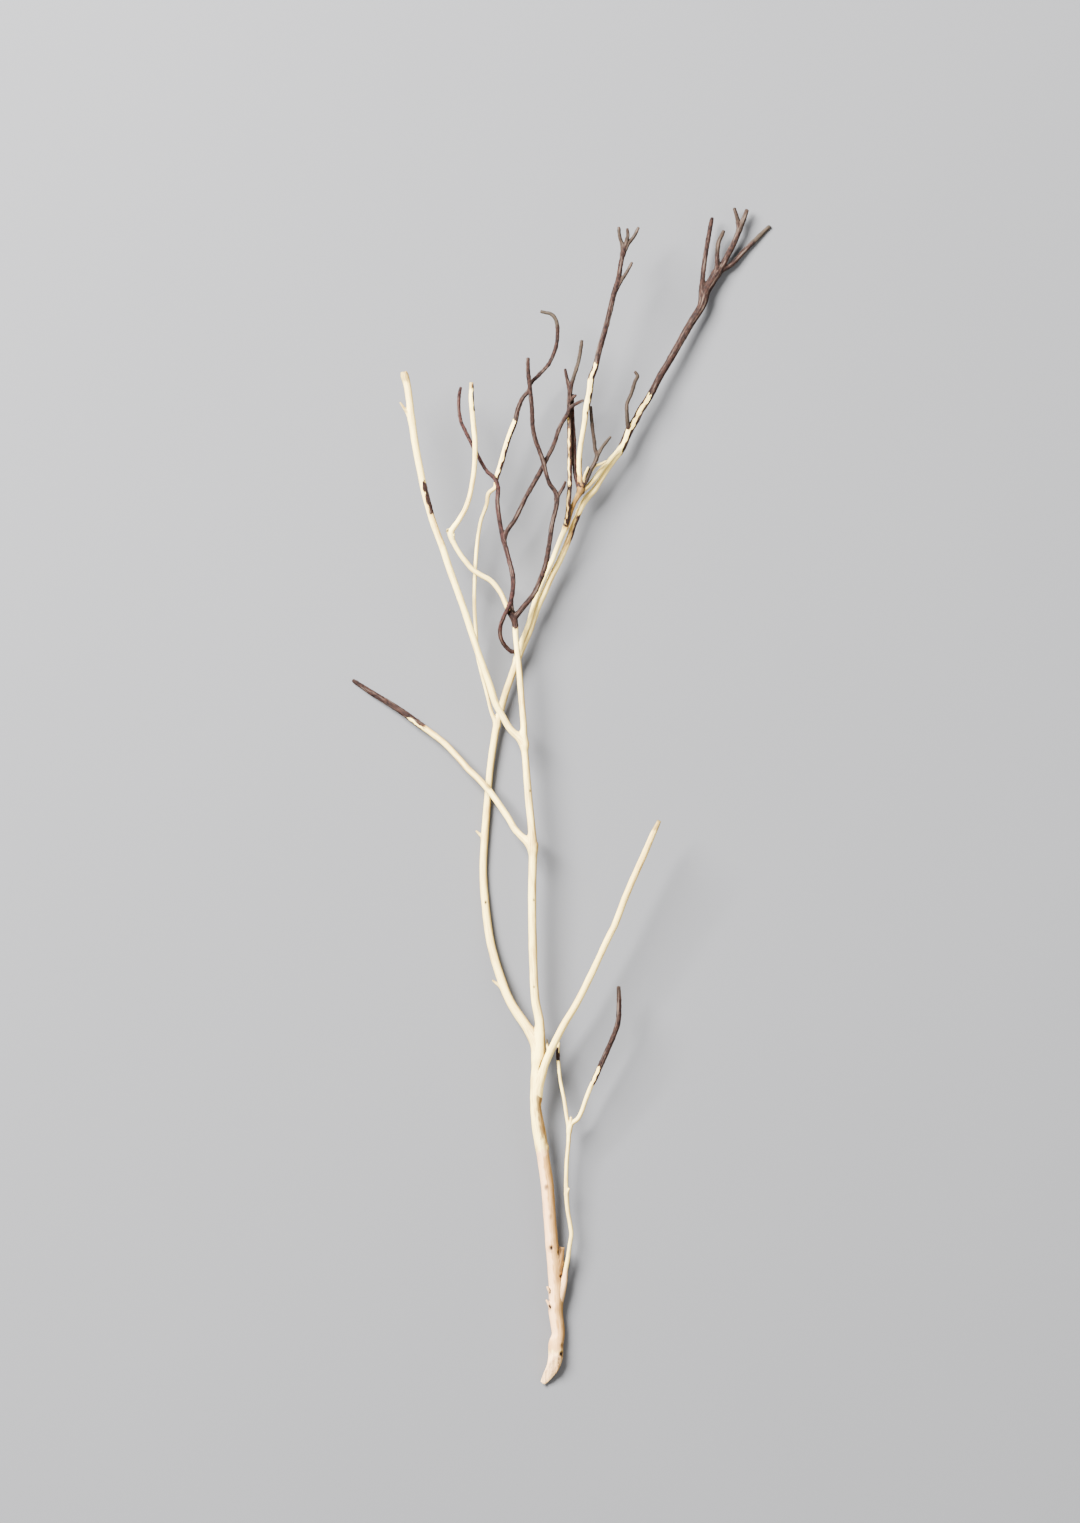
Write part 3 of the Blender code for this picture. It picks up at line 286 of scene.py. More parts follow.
# Where a limb grows from another: the limb, the one that carries it, and the end of the limb that joins.
JOINTS = [
    ("left", "stem", 0), ("right", "stem", 0), ("left_side", "stem", 0), ("upper_left", "stem", 0),
    ("low_side", "stem", 0), ("dark_right", "stem", 0), ("thin_pale", "left", 0), ("looping", "left", 0),
    ("inner", "left", 0), ("hooked", "left", 0), ("twin_strand", "left", -1),
    ("twin_strand", "inner", 0), ("crossing", "looping", 0), ("grey", "inner", 0), ("red", "inner", 0),
    ("tangled", "inner", 0),
]
NECK = 6  # a limb's own thickness at a joint is read this many rings away from it
THICK = 5.5  # a limb with a thicker place than this, in millimetres, gets more sides
BUDDED_RADIUS = 3.6  # a thicker place than this radius, in millimetres, has lost its bud rings
FINE_RELIEF, KNOB_RELIEF = 0.05, 0.15  # the heights, in millimetres, of grain in wood and knobs on bark

# Fillets: how far from its joint one works, in sizes of the fillet, and how its surface is found.
FILLET_REACH = 9.0
FILLET_ROUNDS = 12
FILLET_PACE = 0.85
HIDDEN_DEPTH = 0.12  # a vertex that lies deeper in another limb, in millimetres, isn't seen
FAR = 99.0  # the distance, in millimetres, to a limb that isn't near
SEARCH_MARGIN = 15  # how far round a set of points a limb is looked for, in millimetres
BLOCK = 3000  # how many points are worked on at a time
LOWEST = 0.02  # no vertex lies lower than this over the floor, in millimetres

# The side of each limb that faces away from the main light, where shade is painted on the bare wood, the
# two places along the branch between which that painted shade fades, the share left in the crown, and the
# limbs that have less of it throughout.
PAINTED_SHADE_WAY = (0.80, -0.25, -0.55)
PAINTED_SHADE_FADES = (700.0, 780.0)
PAINTED_SHADE_IN_CROWN = 0.4
PAINTED_SHADE_SHARES = {"right": 0.35, "upper_left": 0.55}

PAINT_LAYERS = ("bark", "stain", "dark", "blush", "tan", "grey", "torn")
PAINT_EDGE = 1.6  # the width of a patch's edge, in millimetres
END_SLOPE = 0.35  # how fast a patch fades at its two ends, against its sides
BARK_RAGGED, PAINT_RAGGED = 0.9, 0.7  # how far the edges of bark and of other paint stray, in millimetres
ALL_ROUND = 200  # the half width, in degrees, that stands for all round


def ring(layer, start, end, strength=1):
    """A patch of paint that goes all round its limb."""
    return (layer, start, end, 90, ALL_ROUND, strength)


# Paint on the limbs: the layer, where it starts and ends along the branch, the middle and half the width
# of its strip in degrees round the limb (0 right, 90 top, 180 left), and its strength. A bark patch of
# negative strength is peeled again.
PATCHES = {
    "stem": [
        ring("blush", -10, 34, 0.75), ring("blush", 30, 236, 0.95), ring("tan", 29, 46, 0.8),
        ring("tan", 40, 236, 0.42), ("tan", 40, 232, 24, 82, 0.95), ("tan", 128, 146, 120, 40, 0.6),
        ("stain", 34, 66, 14, 36, 0.5), ("stain", 60, 216, 22, 40, 0.42),
        ("stain", 62, 160, 58, 14, 0.3), ("stain", 140, 222, 66, 12, 0.3),
        ("tan", 236, 300, 20, 40, 0.7), ("stain", 244, 292, 54, 34, 1.0), ("dark", 252, 286, 78, 7, 0.3),
        ring("bark", 757, 776), ("dark", 728, 742, 72, 9, 0.8), ("tan", 300, 720, 8, 50, 0.45),
        ("bark", 973, 998, 0, 52, 1), ring("stain", 992, 1010, 0.7),
    ],
    "stem.hollow_stub": [
        ring("blush", 90, 150, 0.95), ring("tan", 90, 150, 1.0), ring("stain", 104, 150, 0.8),
        ("dark", 122, 150, 150, 60, 0.7), ("dark", 103, 113, 20, 50, 0.8),
    ],
    "stem.thorn_low": [
        ring("blush", 60, 100, 0.95), ring("tan", 66, 90, 0.6), ("dark", 72, 80, 50, 100, 1.0),
    ],
    "stem.thorn_high": [
        ring("blush", 70, 110, 0.95), ring("tan", 80, 100, 0.6), ("dark", 87, 95, 50, 100, 1.0),
    ],
    "stem.elbow_stub": [ring("dark", 851, 860, 0.8)],
    "right": [
        ring("tan", 340, 575, 0.25), ring("tan", 470, 575, 0.42), ring("stain", 552, 575, 0.8),
        ring("dark", 560, 575, 0.5),
    ],
    "right.spur": [ring("dark", 338, 350, 0.8)],
    "left": [
        ("tan", 340, 840, 10, 50, 0.4), ring("tan", 330, 720, 0.22), ("tan", 830, 876, 60, 110, 0.5),
        ("stain", 838, 870, 50, 60, 0.75), ("tan", 900, 990, 10, 50, 0.3), ("bark", 846, 870, 20, 48, 1),
        ring("bark", 932, 1200), ("bark", 928, 990, 95, 34, -1), ring("grey", 1150, 1200, 0.3),
    ],
    "left.middle_tip": [ring("grey", 1130, 1200, 0.4)],
    "left.fork_tip": [ring("grey", 1160, 1200, 0.3)],
    "left.right_tip": [ring("grey", 1140, 1200, 0.7)],
    "left.spur_high": [ring("stain", 550, 556, 0.8)],
    "left.spur_low": [ring("stain", 400, 410, 0.8)],
    "left_side": [
        ring("tan", 592, 668, 0.2), ("tan", 594, 666, 40, 62, 0.55), ("stain", 612, 648, 20, 40, 0.5),
        ring("bark", 657, 720), ("bark", 648, 667, 125, 30, -1), ring("dark", 696, 720, 0.5),
    ],
    "upper_left": [
        ("tan", 836, 890, 40, 90, 0.5), ("stain", 842, 878, 20, 45, 0.45), ("bark", 871, 901, 28, 66, 1),
        ("tan", 900, 1020, 50, 60, 0.25), ring("stain", 1000, 1020, 0.7),
    ],
    "upper_left.spur": [ring("stain", 970, 990, 0.8)],
    "low_side": [
        ring("blush", 60, 116, 0.95), ring("tan", 60, 110, 0.5), ring("tan", 100, 245, 0.3),
        ring("bark", 300, 420), ("bark", 290, 318, 110, 40, -1), ring("grey", 385, 420, 0.25),
    ],
    "low_side.left_arm": [ring("bark", 324, 334)],
    "thin_pale": [
        ("stain", 846, 898, 60, 120, 0.35), ("bark", 900, 974, 0, 70, 1), ring("bark", 965, 1100),
        ring("grey", 1055, 1100, 0.8),
    ],
    "inner": [
        ("tan", 740, 900, 10, 50, 0.3), ring("tan", 852, 912, 1.0), ("stain", 864, 906, 60, 90, 0.85),
        ("dark", 882, 899, 150, 26, 0.8), ("dark", 888, 901, 20, 26, 0.8),
        ("tan", 905, 1000, 10, 60, 0.7), ring("bark", 898, 925), ("bark", 900, 960, 90, 62, -1),
        ("bark", 974, 1010, 0, 55, 1), ring("bark", 1006, 1200), ("bark", 996, 1020, 100, 30, -1),
        ring("grey", 1135, 1200, 0.3),
    ],
    "inner.side_tip": [ring("grey", 1100, 1200, 0.4)],
    "inner.left_tip": [ring("grey", 1100, 1200, 0.4)],
    "inner.right_tip": [ring("grey", 1100, 1200, 0.4)],
    "grey": [
        ("bark", 862, 966, 116, 24, -1), ("tan", 856, 970, 90, 80, 0.7),
        ("stain", 860, 966, 60, 20, 0.5), ring("grey", 1000, 1100, 0.6),
    ],
    "hooked": [("grey", 956, 1020, 70, 100, 0.6)],
    "tangled": [ring("grey", 900, 990, 0.4)],
    "tangled.long_arm": [ring("grey", 900, 990, 0.6)],
    "twin_strand": [
        ring("tan", 880, 906, 0.5), ("stain", 880, 898, 60, 80, 0.7), ("dark", 888, 899, 150, 30, 0.6),
    ],
    "tangled.right_arm": [ring("stain", 0, 1200, 0.5), ring("grey", 0, 1200, 0.5)],
    "tangled.left_arm": [ring("stain", 0, 1200, 0.5), ring("grey", 0, 1200, 0.5)],
}
ALL_BARK = [ring("bark", -100, 1300)]
ALL_BARK_TUBES = {
    "looping", "crossing", "dark_right", "dark_right.short_arm", "dark_right.tucked_arm", "red", "tangled",
    "tangled.long_arm", "hooked", "grey", "grey.arm", "grey.bud", "left.left_tip", "left.middle_tip",
    "left.fork_tip", "left.right_tip", "inner.side_tip", "inner.left_tip", "inner.right_tip",
}

# Knots, pits and bumps on the upper side: across, along, radius and depth in millimetres, how dark they are
# and how stained. A bump's depth is negative.
SPOT_STRETCH = 0.75  # how wide a spot is, as a share of its length along the branch
PIT_EDGE = 1.25  # where the lip of a pit stands, in radii of the pit
PIT_LIP = 0.22  # the height of that lip, as a share of the pit's depth
SPOTS = {
    "stem": [
        (1.2, 135.6, 2.0, 2.2, 1.0, 0.6), (-3.5, 196.5, 1.7, 0.5, 0.5, 0.9),
        (0.7, 167.0, 1.5, 0.2, 0.35, 0.5), (-1.2, 237.0, 3.0, -0.9, 0.1, 0.3),
        (-1.2, 92.5, 1.6, 0.9, 1.0, 0.6), (-0.6, 76.3, 2.0, 0.9, 1.0, 0.6),
        (-1.4, 83.6, 1.0, 0.5, 0.8, 0.6), (11.8, 29.6, 1.9, 1.9, 1.0, 0.9),
        (12.2, 38.0, 1.5, 0.5, 0.3, 0.8), (10.9, 107.5, 1.6, 0.9, 0.9, 0.5),
        (-16.0, 397.0, 1.0, 0.7, 1.0, 0.3), (-16.0, 484.0, 1.0, 0.7, 1.0, 0.3),
        (-19.8, 593.0, 1.0, 0.7, 1.0, 0.3), (-12.9, 539.6, 2.2, -0.8, 0.25, 0.5),
    ],
    "left": [(-64.2, 481.4, 1.3, 0.8, 1.0, 0.4)],
    "left_side": [(-61.0, 599.0, 2.4, -0.6, 0.35, 0.7)],
    "inner": [
        (31.3, 894.5, 4.0, -0.9, 0.0, 1.0), (35.0, 890.6, 1.8, -0.8, 0.0, 0.6),
        (29.2, 899.6, 1.5, 0.4, 0.8, 1.0), (33.8, 896.6, 1.2, 0.4, 0.7, 1.0),
        (22.0, 876.0, 1.6, -0.3, 0.3, 1.0),
    ],
}

# The shapes of a limb's end, from the rim inwards: (share of the radius, way past the end in radii).
END_SHAPES = {
    "round": [(0.94, 0.22), (0.78, 0.46), (0.5, 0.66), (0.22, 0.76)],
    "broken": [(0.97, 0.10), (0.84, 0.26), (0.6, 0.16), (0.3, 0.24)],
    "torn": [(0.93, 0.05), (0.72, 0.09), (0.45, 0.11), (0.2, 0.12)],
    "hollow": [(0.96, 0.12), (0.82, 0.10), (0.68, -0.45), (0.58, -1.2), (0.36, -1.9)],
}
RIM_JAG = 0.22  # how far the rim of a broken end strays along the limb, in radii
BROKEN_STAIN = 0.75  # how stained a broken end is
START_OF = {"stem": "torn"}
END_OF = {
    "right": "broken",
    "upper_left": "broken",
    "stem": "broken",
    "stem.hollow_stub": "hollow",
    "stem.elbow_stub": "broken",
    "thin_pale": "broken",
    "crossing": "broken",
}

# The slanting tear at the butt, in millimetres: where its face starts on top, where it ends, and its
# heights there.
TEAR_START, TEAR_END = 30.0, -2.0
TEAR_TOP, TEAR_TIP = 15.0, 2.6
TEAR_WALL = 6  # the height of the step that ends the face, and how far past its start the cut may reach
TEAR_LEAST = 1.2  # the cut leaves wood up to this height at the tip
RIDGE_HEIGHT, STEP_HEIGHT = 0.55, 0.5
FIBRE_START = 12.0  # the fibres stand between here and the top of the tear

# The lights: where each stands over the middle of the floor, and the side of its square, in metres.
MAIN_LIGHT = ((-2.6, 2.6, 3.4), 2.6)
FILL_LIGHT = ((3.6, -1.6, 3.0), 3.0)

# The photograph's frame on the ground plan, in millimetres: the point under the camera, the frame's longer
# side, and the height on the branch at which the frame has that length.
VIEW_CENTRE = (-10.0, 622.5)
VIEW_LENGTH = 1523.0
VIEW_HEIGHT = 25.0
SENSOR = 36.0

DENSITY = "Number per square metre"  # the setting that every kind of strewn thing has


class BranchSizes(bpy.types.PropertyGroup):
    """Sizes of the wood and bark."""

    ring_step: FloatProperty(
        name="Ring spacing",
        description="Distance between the rings of vertices along a limb",
        default=1.1 * MM,
        min=0.4 * MM,
        unit="LENGTH",
    )
    thick_sides: IntProperty(
        name="Sides of thick limbs",
        description="Vertices round a limb that is over 5.5 mm thick somewhere",
        default=34,
        min=8,
    )
    thin_sides: IntProperty(
        name="Sides of thin limbs", description="Vertices round a thinner limb", default=22, min=6
    )
    bark_thickness: FloatProperty(
        name="Bark thickness",
        description="How far bark stands proud of the peeled wood",
        default=0.35 * MM,
        unit="LENGTH",
    )
    unevenness: FloatProperty(
        name="Unevenness",
        description="How far a limb's surface strays from round, as a share of its radius",
        default=0.05,
        subtype="FACTOR",
    )
    bud_swelling: FloatProperty(
        name="Bud rings",
        description="How far the rings that old buds left stand out on thin limbs",
        default=0.28 * MM,
        unit="LENGTH",
    )
    fillet: FloatProperty(
        name="Fork fillet",
        description="Size of the fillet where a limb joins another, in thicknesses of the limb",
        default=0.85,
    )


def colour(name, description, value):
    """A colour among the settings."""
    return FloatVectorProperty(
        name=name, description=description, subtype="COLOR", size=3, default=value, min=0.0, max=1.0
    )


class BranchColours(bpy.types.PropertyGroup):
    """Colours of the wood and bark."""

    peeled: colour("Peeled wood", "Bare weathered wood", (0.92, 0.72, 0.22))
    peeled_shade: colour("Grain of peeled wood", "Darker streaks in bare wood", (0.50, 0.29, 0.075))
    blush: colour("Pink wood", "Bare wood at the butt", (0.90, 0.50, 0.29))
    tan: colour("Tan wood", "Bare wood that has kept its colour, along the stem", (0.34, 0.163, 0.030))
    # Painted shade: the colour laid on the side of each limb that faces away from the main light.
    flank: colour("Shaded wood", "Bare wood on the less bleached side of the limbs", (0.21, 0.120, 0.030))
    stain: colour("Stained wood", "Tan stains and old scars", (0.105, 0.050, 0.014))
    inner_bark: colour("Inner bark", "The rim where bark has come away", (0.11, 0.042, 0.016))
    # Near black for knot holes, clefts, pinholes and the hollow end: painted shade inside these recesses,
    # and the dark wood of knots.
    hollow: colour("Hollows", "Knot holes, clefts and pinholes", (0.008, 0.004, 0.003))
    bark_dark: colour("Dark bark", "The darker part of the bark", (0.0042, 0.002, 0.0019))
    bark_light: colour("Light bark", "The paler part of the bark", (0.028, 0.0125, 0.0085))
    # A worn grey film on the bark, and painted sheen: its pale streaks also stand in for the bark's thin
    # glossy highlights.
    bark_worn_and_sheen: colour("Worn bark", "Greyish film on the bark", (0.125, 0.088, 0.066))
    red_bark: colour("Reddish bark", "Bark of the looping and red twigs", (0.040, 0.015, 0.012))
    dot: colour("Bark pores", "The small raised pores of the bark", (0.060, 0.042, 0.032))
    twig_tip: colour("Twig tips", "Olive-grey young bark", (0.040, 0.032, 0.021))


class BranchDetails(bpy.types.PropertyGroup):
    """The small things strewn over the limbs."""

    dots: FloatProperty(
        name="Bark pores", description="Raised pores on a square metre of bark", default=30000.0
    )
    dot_size: FloatProperty(
        name="Pore size", description="Width of the largest pore", default=0.6 * MM, unit="LENGTH"
    )
    flakes: FloatProperty(
        name="Bark flakes", description="Flakes on a square metre along the peeled edges", default=260000.0
    )
    flake_size: FloatProperty(
        name="Flake size",
        description="Size of the largest flake, which is half as wide and a little longer",
        default=1.9 * MM,
        unit="LENGTH",
    )
    fibres: FloatProperty(
        name="Fibres", description="Fibres on a square metre of torn wood", default=130000.0
    )
    fibre_length: FloatProperty(
        name="Fibre length", description="Length of the longest fibre", default=4.5 * MM, unit="LENGTH"
    )


class BranchStage(bpy.types.PropertyGroup):
    """The floor, the light and the camera."""

    floor_side: FloatProperty(
        name="Floor side", description="Side of the square floor", default=14.0, unit="LENGTH"
    )
    floor_colour: colour("Floor colour", "The plain floor", (0.110, 0.110, 0.113))
    main_power: FloatProperty(
        name="Main light",
        description="Power of the large light from the upper left",
        default=3400.0,
        unit="POWER",
    )
    fill_power: FloatProperty(
        name="Fill light",
        description="Power of the weaker light from the right",
        default=220.0,
        unit="POWER",
    )
    room_light: FloatProperty(
        name="Room light", description="Strength of the even light all round", default=0.75
    )
    camera_height: FloatProperty(
        name="Camera height", description="Height of the camera over the floor", default=24.0, unit="LENGTH"
    )


def ripple(points, size, seed, stretch=1.0, count=14):
    """Smooth random waves from about -1 to 1, size long, and longer by stretch along the limb."""
    random = np.random.default_rng(seed)
    ways = random.normal(size=(count, 3))
    ways /= np.linalg.norm(ways, axis=1, keepdims=True)
    ways *= 2 * np.pi / size * random.uniform(0.6, 1.6, (count, 1))
    ways[:, 2] /= stretch
    phases = random.uniform(0, 2 * np.pi, count)
    return np.sin(points @ ways.T + phases).sum(-1) / math.sqrt(count) * 0.8


def smooth_step(x):
    """0 up to 0 and 1 from 1 on, with a smooth rise between."""
    x = np.clip(x, 0, 1)
    return x * x * (3 - 2 * x)


def unit(vectors):
    """The vectors with length 1."""
    return vectors / np.maximum(np.linalg.norm(vectors, axis=-1, keepdims=True), 1e-9)


def smooth_curve(rows, step):
    """Points of the centripetal Catmull-Rom curve through the rows, about step apart."""
    corners = np.array(rows, float)
    corners = np.vstack([2 * corners[0] - corners[1], corners, 2 * corners[-1] - corners[-2]])
    fine = []
    for p0, p1, p2, p3 in zip(corners, corners[1:], corners[2:], corners[3:]):
        gaps = [math.sqrt(np.linalg.norm((b - a)[:3])) for a, b in ((p0, p1), (p1, p2), (p2, p3))]
        k0, k1 = 0.0, gaps[0]
        k2, k3 = gaps[0] + gaps[1], sum(gaps)
        count = max(2, math.ceil(np.linalg.norm((p2 - p1)[:3]) / step))
        t = (k1 + (k2 - k1) * np.arange(count) / count)[:, None]
        a = p0 + (p1 - p0) * (t - k0) / (k1 - k0)
        b = p1 + (p2 - p1) * (t - k1) / (k2 - k1)
        c = p2 + (p3 - p2) * (t - k2) / (k3 - k2)
        d = a + (b - a) * (t - k0) / (k2 - k0)
        e = b + (c - b) * (t - k1) / (k3 - k1)
        fine.append(d + (e - d) * (t - k1) / (k2 - k1))
    fine.append(corners[-2:-1])
    return np.vstack(fine)


class Limb:
    """The centre line of one limb or twig, with the directions that its surface is built from."""

    made = {}

    def __init__(self, name, rows, step):
        fine = smooth_curve(rows, step)
        self.name = name
        self.places = fine[:, :3] + np.array(PLAN_SHIFT)
        self.radii = fine[:, 3] / 2
        self.heading = unit(np.gradient(self.places, axis=0))
        self.side = unit(np.cross(self.heading, (0, 0, 1)))
        self.top = np.cross(self.side, self.heading)
        self.along = np.concatenate([[0], np.cumsum(np.linalg.norm(np.diff(self.places, axis=0), axis=1))])
        self.seed = sum(ord(letter) * (i + 1) for i, letter in enumerate(name))

    @classmethod
    def named(cls, name):
        """The limb or small twig of that name, made the first time that it is asked for."""
        if name not in cls.made:
            sizes = bpy.context.scene.branch_sizes
            rows = ROUTES[name] if name in ROUTES else SPURS[name]
            cls.made[name] = cls(name, rows, sizes.ring_step / MM)
        return cls.made[name]

    def depth(self, points):
        """How far points are from the limb's round surface: negative inside it."""
        result = np.full(len(points), FAR)
        if len(points) == 0:
            return result
        low, high = points.min(0) - SEARCH_MARGIN, points.max(0) + SEARCH_MARGIN
        close = ((self.places > low) & (self.places < high)).all(1)
        close[1:] |= close[:-1].copy()
        close[:-1] |= close[1:].copy()
        picked = np.flatnonzero(close)
        if len(picked) < 2:
            return result
        starts, ends = picked[:-1], picked[1:]
        kept = ends - starts == 1
        starts, ends = starts[kept], ends[kept]
        a, run = self.places[starts], self.places[ends] - self.places[starts]
        length = (run * run).sum(1)
        for block in range(0, len(points), BLOCK):
            here = points[block : block + BLOCK, None] - a
            share = np.clip((here * run).sum(2) / length, 0, 1)
            gap = np.linalg.norm(here - share[..., None] * run, axis=2)
            radius = self.radii[starts] + share * (self.radii[ends] - self.radii[starts])
            result[block : block + BLOCK] = (gap - radius).min(1)
        return result


def joints_of(limb):
    """The limbs that join this one, as (other limb, place of the joint, fillet size)."""
    share = bpy.context.scene.branch_sizes.fillet
    found = []
    pairs = JOINTS + [(spur, spur.split(".")[0], 0) for spur in SPURS]
    for child, parent, end in pairs:
        if limb.name in (child, parent):
            grown = Limb.named(child)
            other = Limb.named(parent if limb.name == child else child)
            neck = min(NECK, len(grown.radii) - 1) if end == 0 else -NECK
            found.append((other, grown.places[end], share * 2 * grown.radii[neck]))
    return found


def smooth_least(a, b, size):
    """The smaller of two distances, with a fillet of that size where they meet."""
    size = np.maximum(size, 1e-6)
    meeting = np.clip(size - np.abs(a - b), 0, None) / size
    return np.minimum(a, b) - meeting * meeting * size / 4


def filleted_radii(limb, ways):
    """The radius at each vertex once the fillets are in, and the share of relief that is kept there."""
    rings, sides = ways.shape[:2]
    base = np.repeat(limb.radii, sides)
    centre = np.repeat(limb.places, sides, axis=0)
    outward = ways.reshape(-1, 3)
    radius = base.copy()
    relief = np.ones_like(base)
    joints = joints_of(limb)
    others = [other for other, _place, _size in joints]
    start = centre + outward * base[:, None]
    local_sizes = []
    near = np.zeros(len(base), bool)
    for other, place, size in joints:
        reach = np.linalg.norm(start - place, axis=1) / (size * FILLET_REACH)
        local = size * smooth_step(1.6 - 1.6 * reach)
        gap = np.full(len(base), FAR)
        gap[local > 0] = other.depth(start[local > 0])
        local[gap > 2.2 * size] = 0
        near |= local > 0
        local_sizes.append(local)
    picked = np.flatnonzero(near)
    own_r, c, u = base[picked], centre[picked], outward[picked]
    local_sizes = [size[picked] for size in local_sizes]
    members = [np.flatnonzero(size > 0) for size in local_sizes]
    largest = np.max(local_sizes, axis=0)
    r = own_r.copy()
    for _ in range(FILLET_ROUNDS):
        spots = c + u * r[:, None]
        gap = r - own_r
        for other, size, here in zip(others, local_sizes, members):
            gap[here] = smooth_least(gap[here], other.depth(spots[here]), size[here])
        r = np.clip(r - FILLET_PACE * gap, own_r * 0.5, own_r + largest)
    spots = c + u * r[:, None]
    own_gap = r - own_r
    other_gap = np.full(len(picked), FAR)
    for other, here in zip(others, members):
        other_gap[here] = np.minimum(other_gap[here], other.depth(spots[here]))
    lost = other_gap < -HIDDEN_DEPTH
    # Past the line where two surfaces meet, this one goes a little under the other.
    under = (other_gap < own_gap) & ~lost
    r = np.where(lost, own_r * 0.9, r)
    r -= np.where(under, np.clip(0.03 + 0.5 * (own_gap - other_gap), 0, 0.7), 0)
    radius[picked] = np.maximum(r, 0.3 * own_r)
    relief[picked] = smooth_step(np.abs(own_gap - other_gap) / (0.5 * largest))
    relief[picked[lost]] = 0
    return radius.reshape(rings, sides), relief.reshape(rings, sides)


def patch_depth(patch, plan_y, angles, radii):
    """How far inside a patch each vertex is, in millimetres: negative outside it."""
    _layer, start, end, middle, half, _strength = patch
    ends = np.minimum(plan_y - start, end - plan_y) * END_SLOPE
    if half == ALL_ROUND:
        return ends
    turn = (np.degrees(angles) - middle + 180) % 360 - 180
    return np.minimum(ends, np.radians(half - np.abs(turn)) * radii)


def layer_field(limb, layer, plan_y, angles, radii, rough):
    """A paint layer's value at each vertex, from 0 to 1."""
    patches = [patch for patch in PATCHES.get(limb.name, []) if patch[0] == layer]
    if layer == "bark" and limb.name in ALL_BARK_TUBES:
        patches = ALL_BARK + patches
    if not patches:
        return np.zeros_like(plan_y)
    if layer == "bark":
        depth = np.full_like(plan_y, -9.0)
        for patch in patches:
            here = patch_depth(patch, plan_y, angles, radii)
            peeled = patch[-1] < 0
            depth = np.minimum(depth, -here) if peeled else np.maximum(depth, here)
        return np.clip(0.5 + (depth + BARK_RAGGED * rough) / PAINT_EDGE, 0, 1)
    value = np.zeros_like(plan_y)
    for patch in patches:
        depth = patch_depth(patch, plan_y, angles, radii) + PAINT_RAGGED * rough
        value = np.maximum(value, patch[-1] * smooth_step(depth / PAINT_EDGE))
    return value


def bud_swellings(limb):
    """How much each ring of a thin limb swells, from 0 to 1, at the rings that old buds left."""
    random = np.random.default_rng(limb.seed + 20)
    swelling = np.zeros(len(limb.places))
    place = random.uniform(5, 14)
    while place < limb.along[-1]:
        height = random.uniform(0.5, 1.0)
        width = random.uniform(0.9, 1.5)
        swelling += height * np.exp(-(((limb.along - place) / width) ** 2))
        place += random.uniform(11, 27)
    return swelling * (limb.radii < BUDDED_RADIUS)


def limb_surface(limb, sides):
    """One closed tube as (vertices, faces, layers), with its fillets, relief and paint."""
    sizes = bpy.context.scene.branch_sizes
    angles = 2 * np.pi * np.arange(sides) / sides
    cos, sin = np.cos(angles)[None, :, None], np.sin(angles)[None, :, None]
    ways = cos * limb.side[:, None] + sin * limb.top[:, None]
    radii, relief = filleted_radii(limb, ways)
    rings = len(limb.places)
    turns = np.repeat(angles[None], rings, axis=0)
    base = np.repeat(limb.radii[:, None], sides, axis=1)
    lengthwise = np.repeat(limb.along[:, None], sides, axis=1)
    grain = np.stack([np.cos(turns) * base, np.sin(turns) * base, lengthwise], -1)
    plan_y = np.repeat(limb.places[:, None, 1], sides, axis=1) - PLAN_SHIFT[1]
    rough = ripple(grain, 3.2, limb.seed + 5, stretch=3.0)
    layers = {name: layer_field(limb, name, plan_y, turns, base, rough) for name in PAINT_LAYERS}
    bark = smooth_step(layers["bark"] * 2 - 0.5)
    wander = 0.6 * ripple(grain, 26, limb.seed, stretch=1.6)
    wander += 0.4 * ripple(grain, 9, limb.seed + 1, stretch=2.5)
    fine = ripple(grain, 2.6, limb.seed + 2, stretch=7.0)
    knobs = ripple(grain, 2.2, limb.seed + 3, stretch=1.3)
    grown = base * sizes.unevenness * wander + FINE_RELIEF * fine
    grown += sizes.bud_swelling / MM * bud_swellings(limb)[:, None] * (0.4 + 0.6 * bark)
    grown += bark * (sizes.bark_thickness / MM + KNOB_RELIEF * knobs)
    places = limb.places[:, None] + ways * (radii + grown * relief)[..., None]
    upper = np.sin(turns) > -0.1
    for x, y, size, deep, dark, stained in SPOTS.get(limb.name, []):
        across = places[..., 0] - PLAN_SHIFT[0] - x
        along = (places[..., 1] - PLAN_SHIFT[1] - y) * SPOT_STRETCH
        flat = np.hypot(across, along) / size
        pit = smooth_step(PIT_EDGE - flat)
        lip = np.exp(-((flat - PIT_EDGE) ** 2) / 0.08) * PIT_LIP * (deep > 0)
        places -= ways * (upper * (pit - lip) * deep)[..., None]
        # A pit is painted dark as well as dug: painted shade inside it, and the dark wood of a knot.
        layers["dark"] = np.maximum(layers["dark"], upper * dark * smooth_step(1.3 - flat))
        layers["stain"] = np.maximum(layers["stain"], upper * stained * smooth_step(1.9 - flat))
    faded, gone = PAINTED_SHADE_FADES
    fade = smooth_step((plan_y - faded) / (gone - faded)) * (1 - PAINTED_SHADE_IN_CROWN)
    # Painted shade: the bare wood darkens towards the side of each limb that faces away from the main
    # light.
    layers["flank"] = smooth_step(0.5 + 0.75 * (ways @ np.array(PAINTED_SHADE_WAY)) + 0.15 * wander) * (1 - fade)
    layers["flank"] *= PAINTED_SHADE_SHARES.get(limb.name, 1.0)
    layers["grain"] = grain
    return close_ends(limb, places, layers)


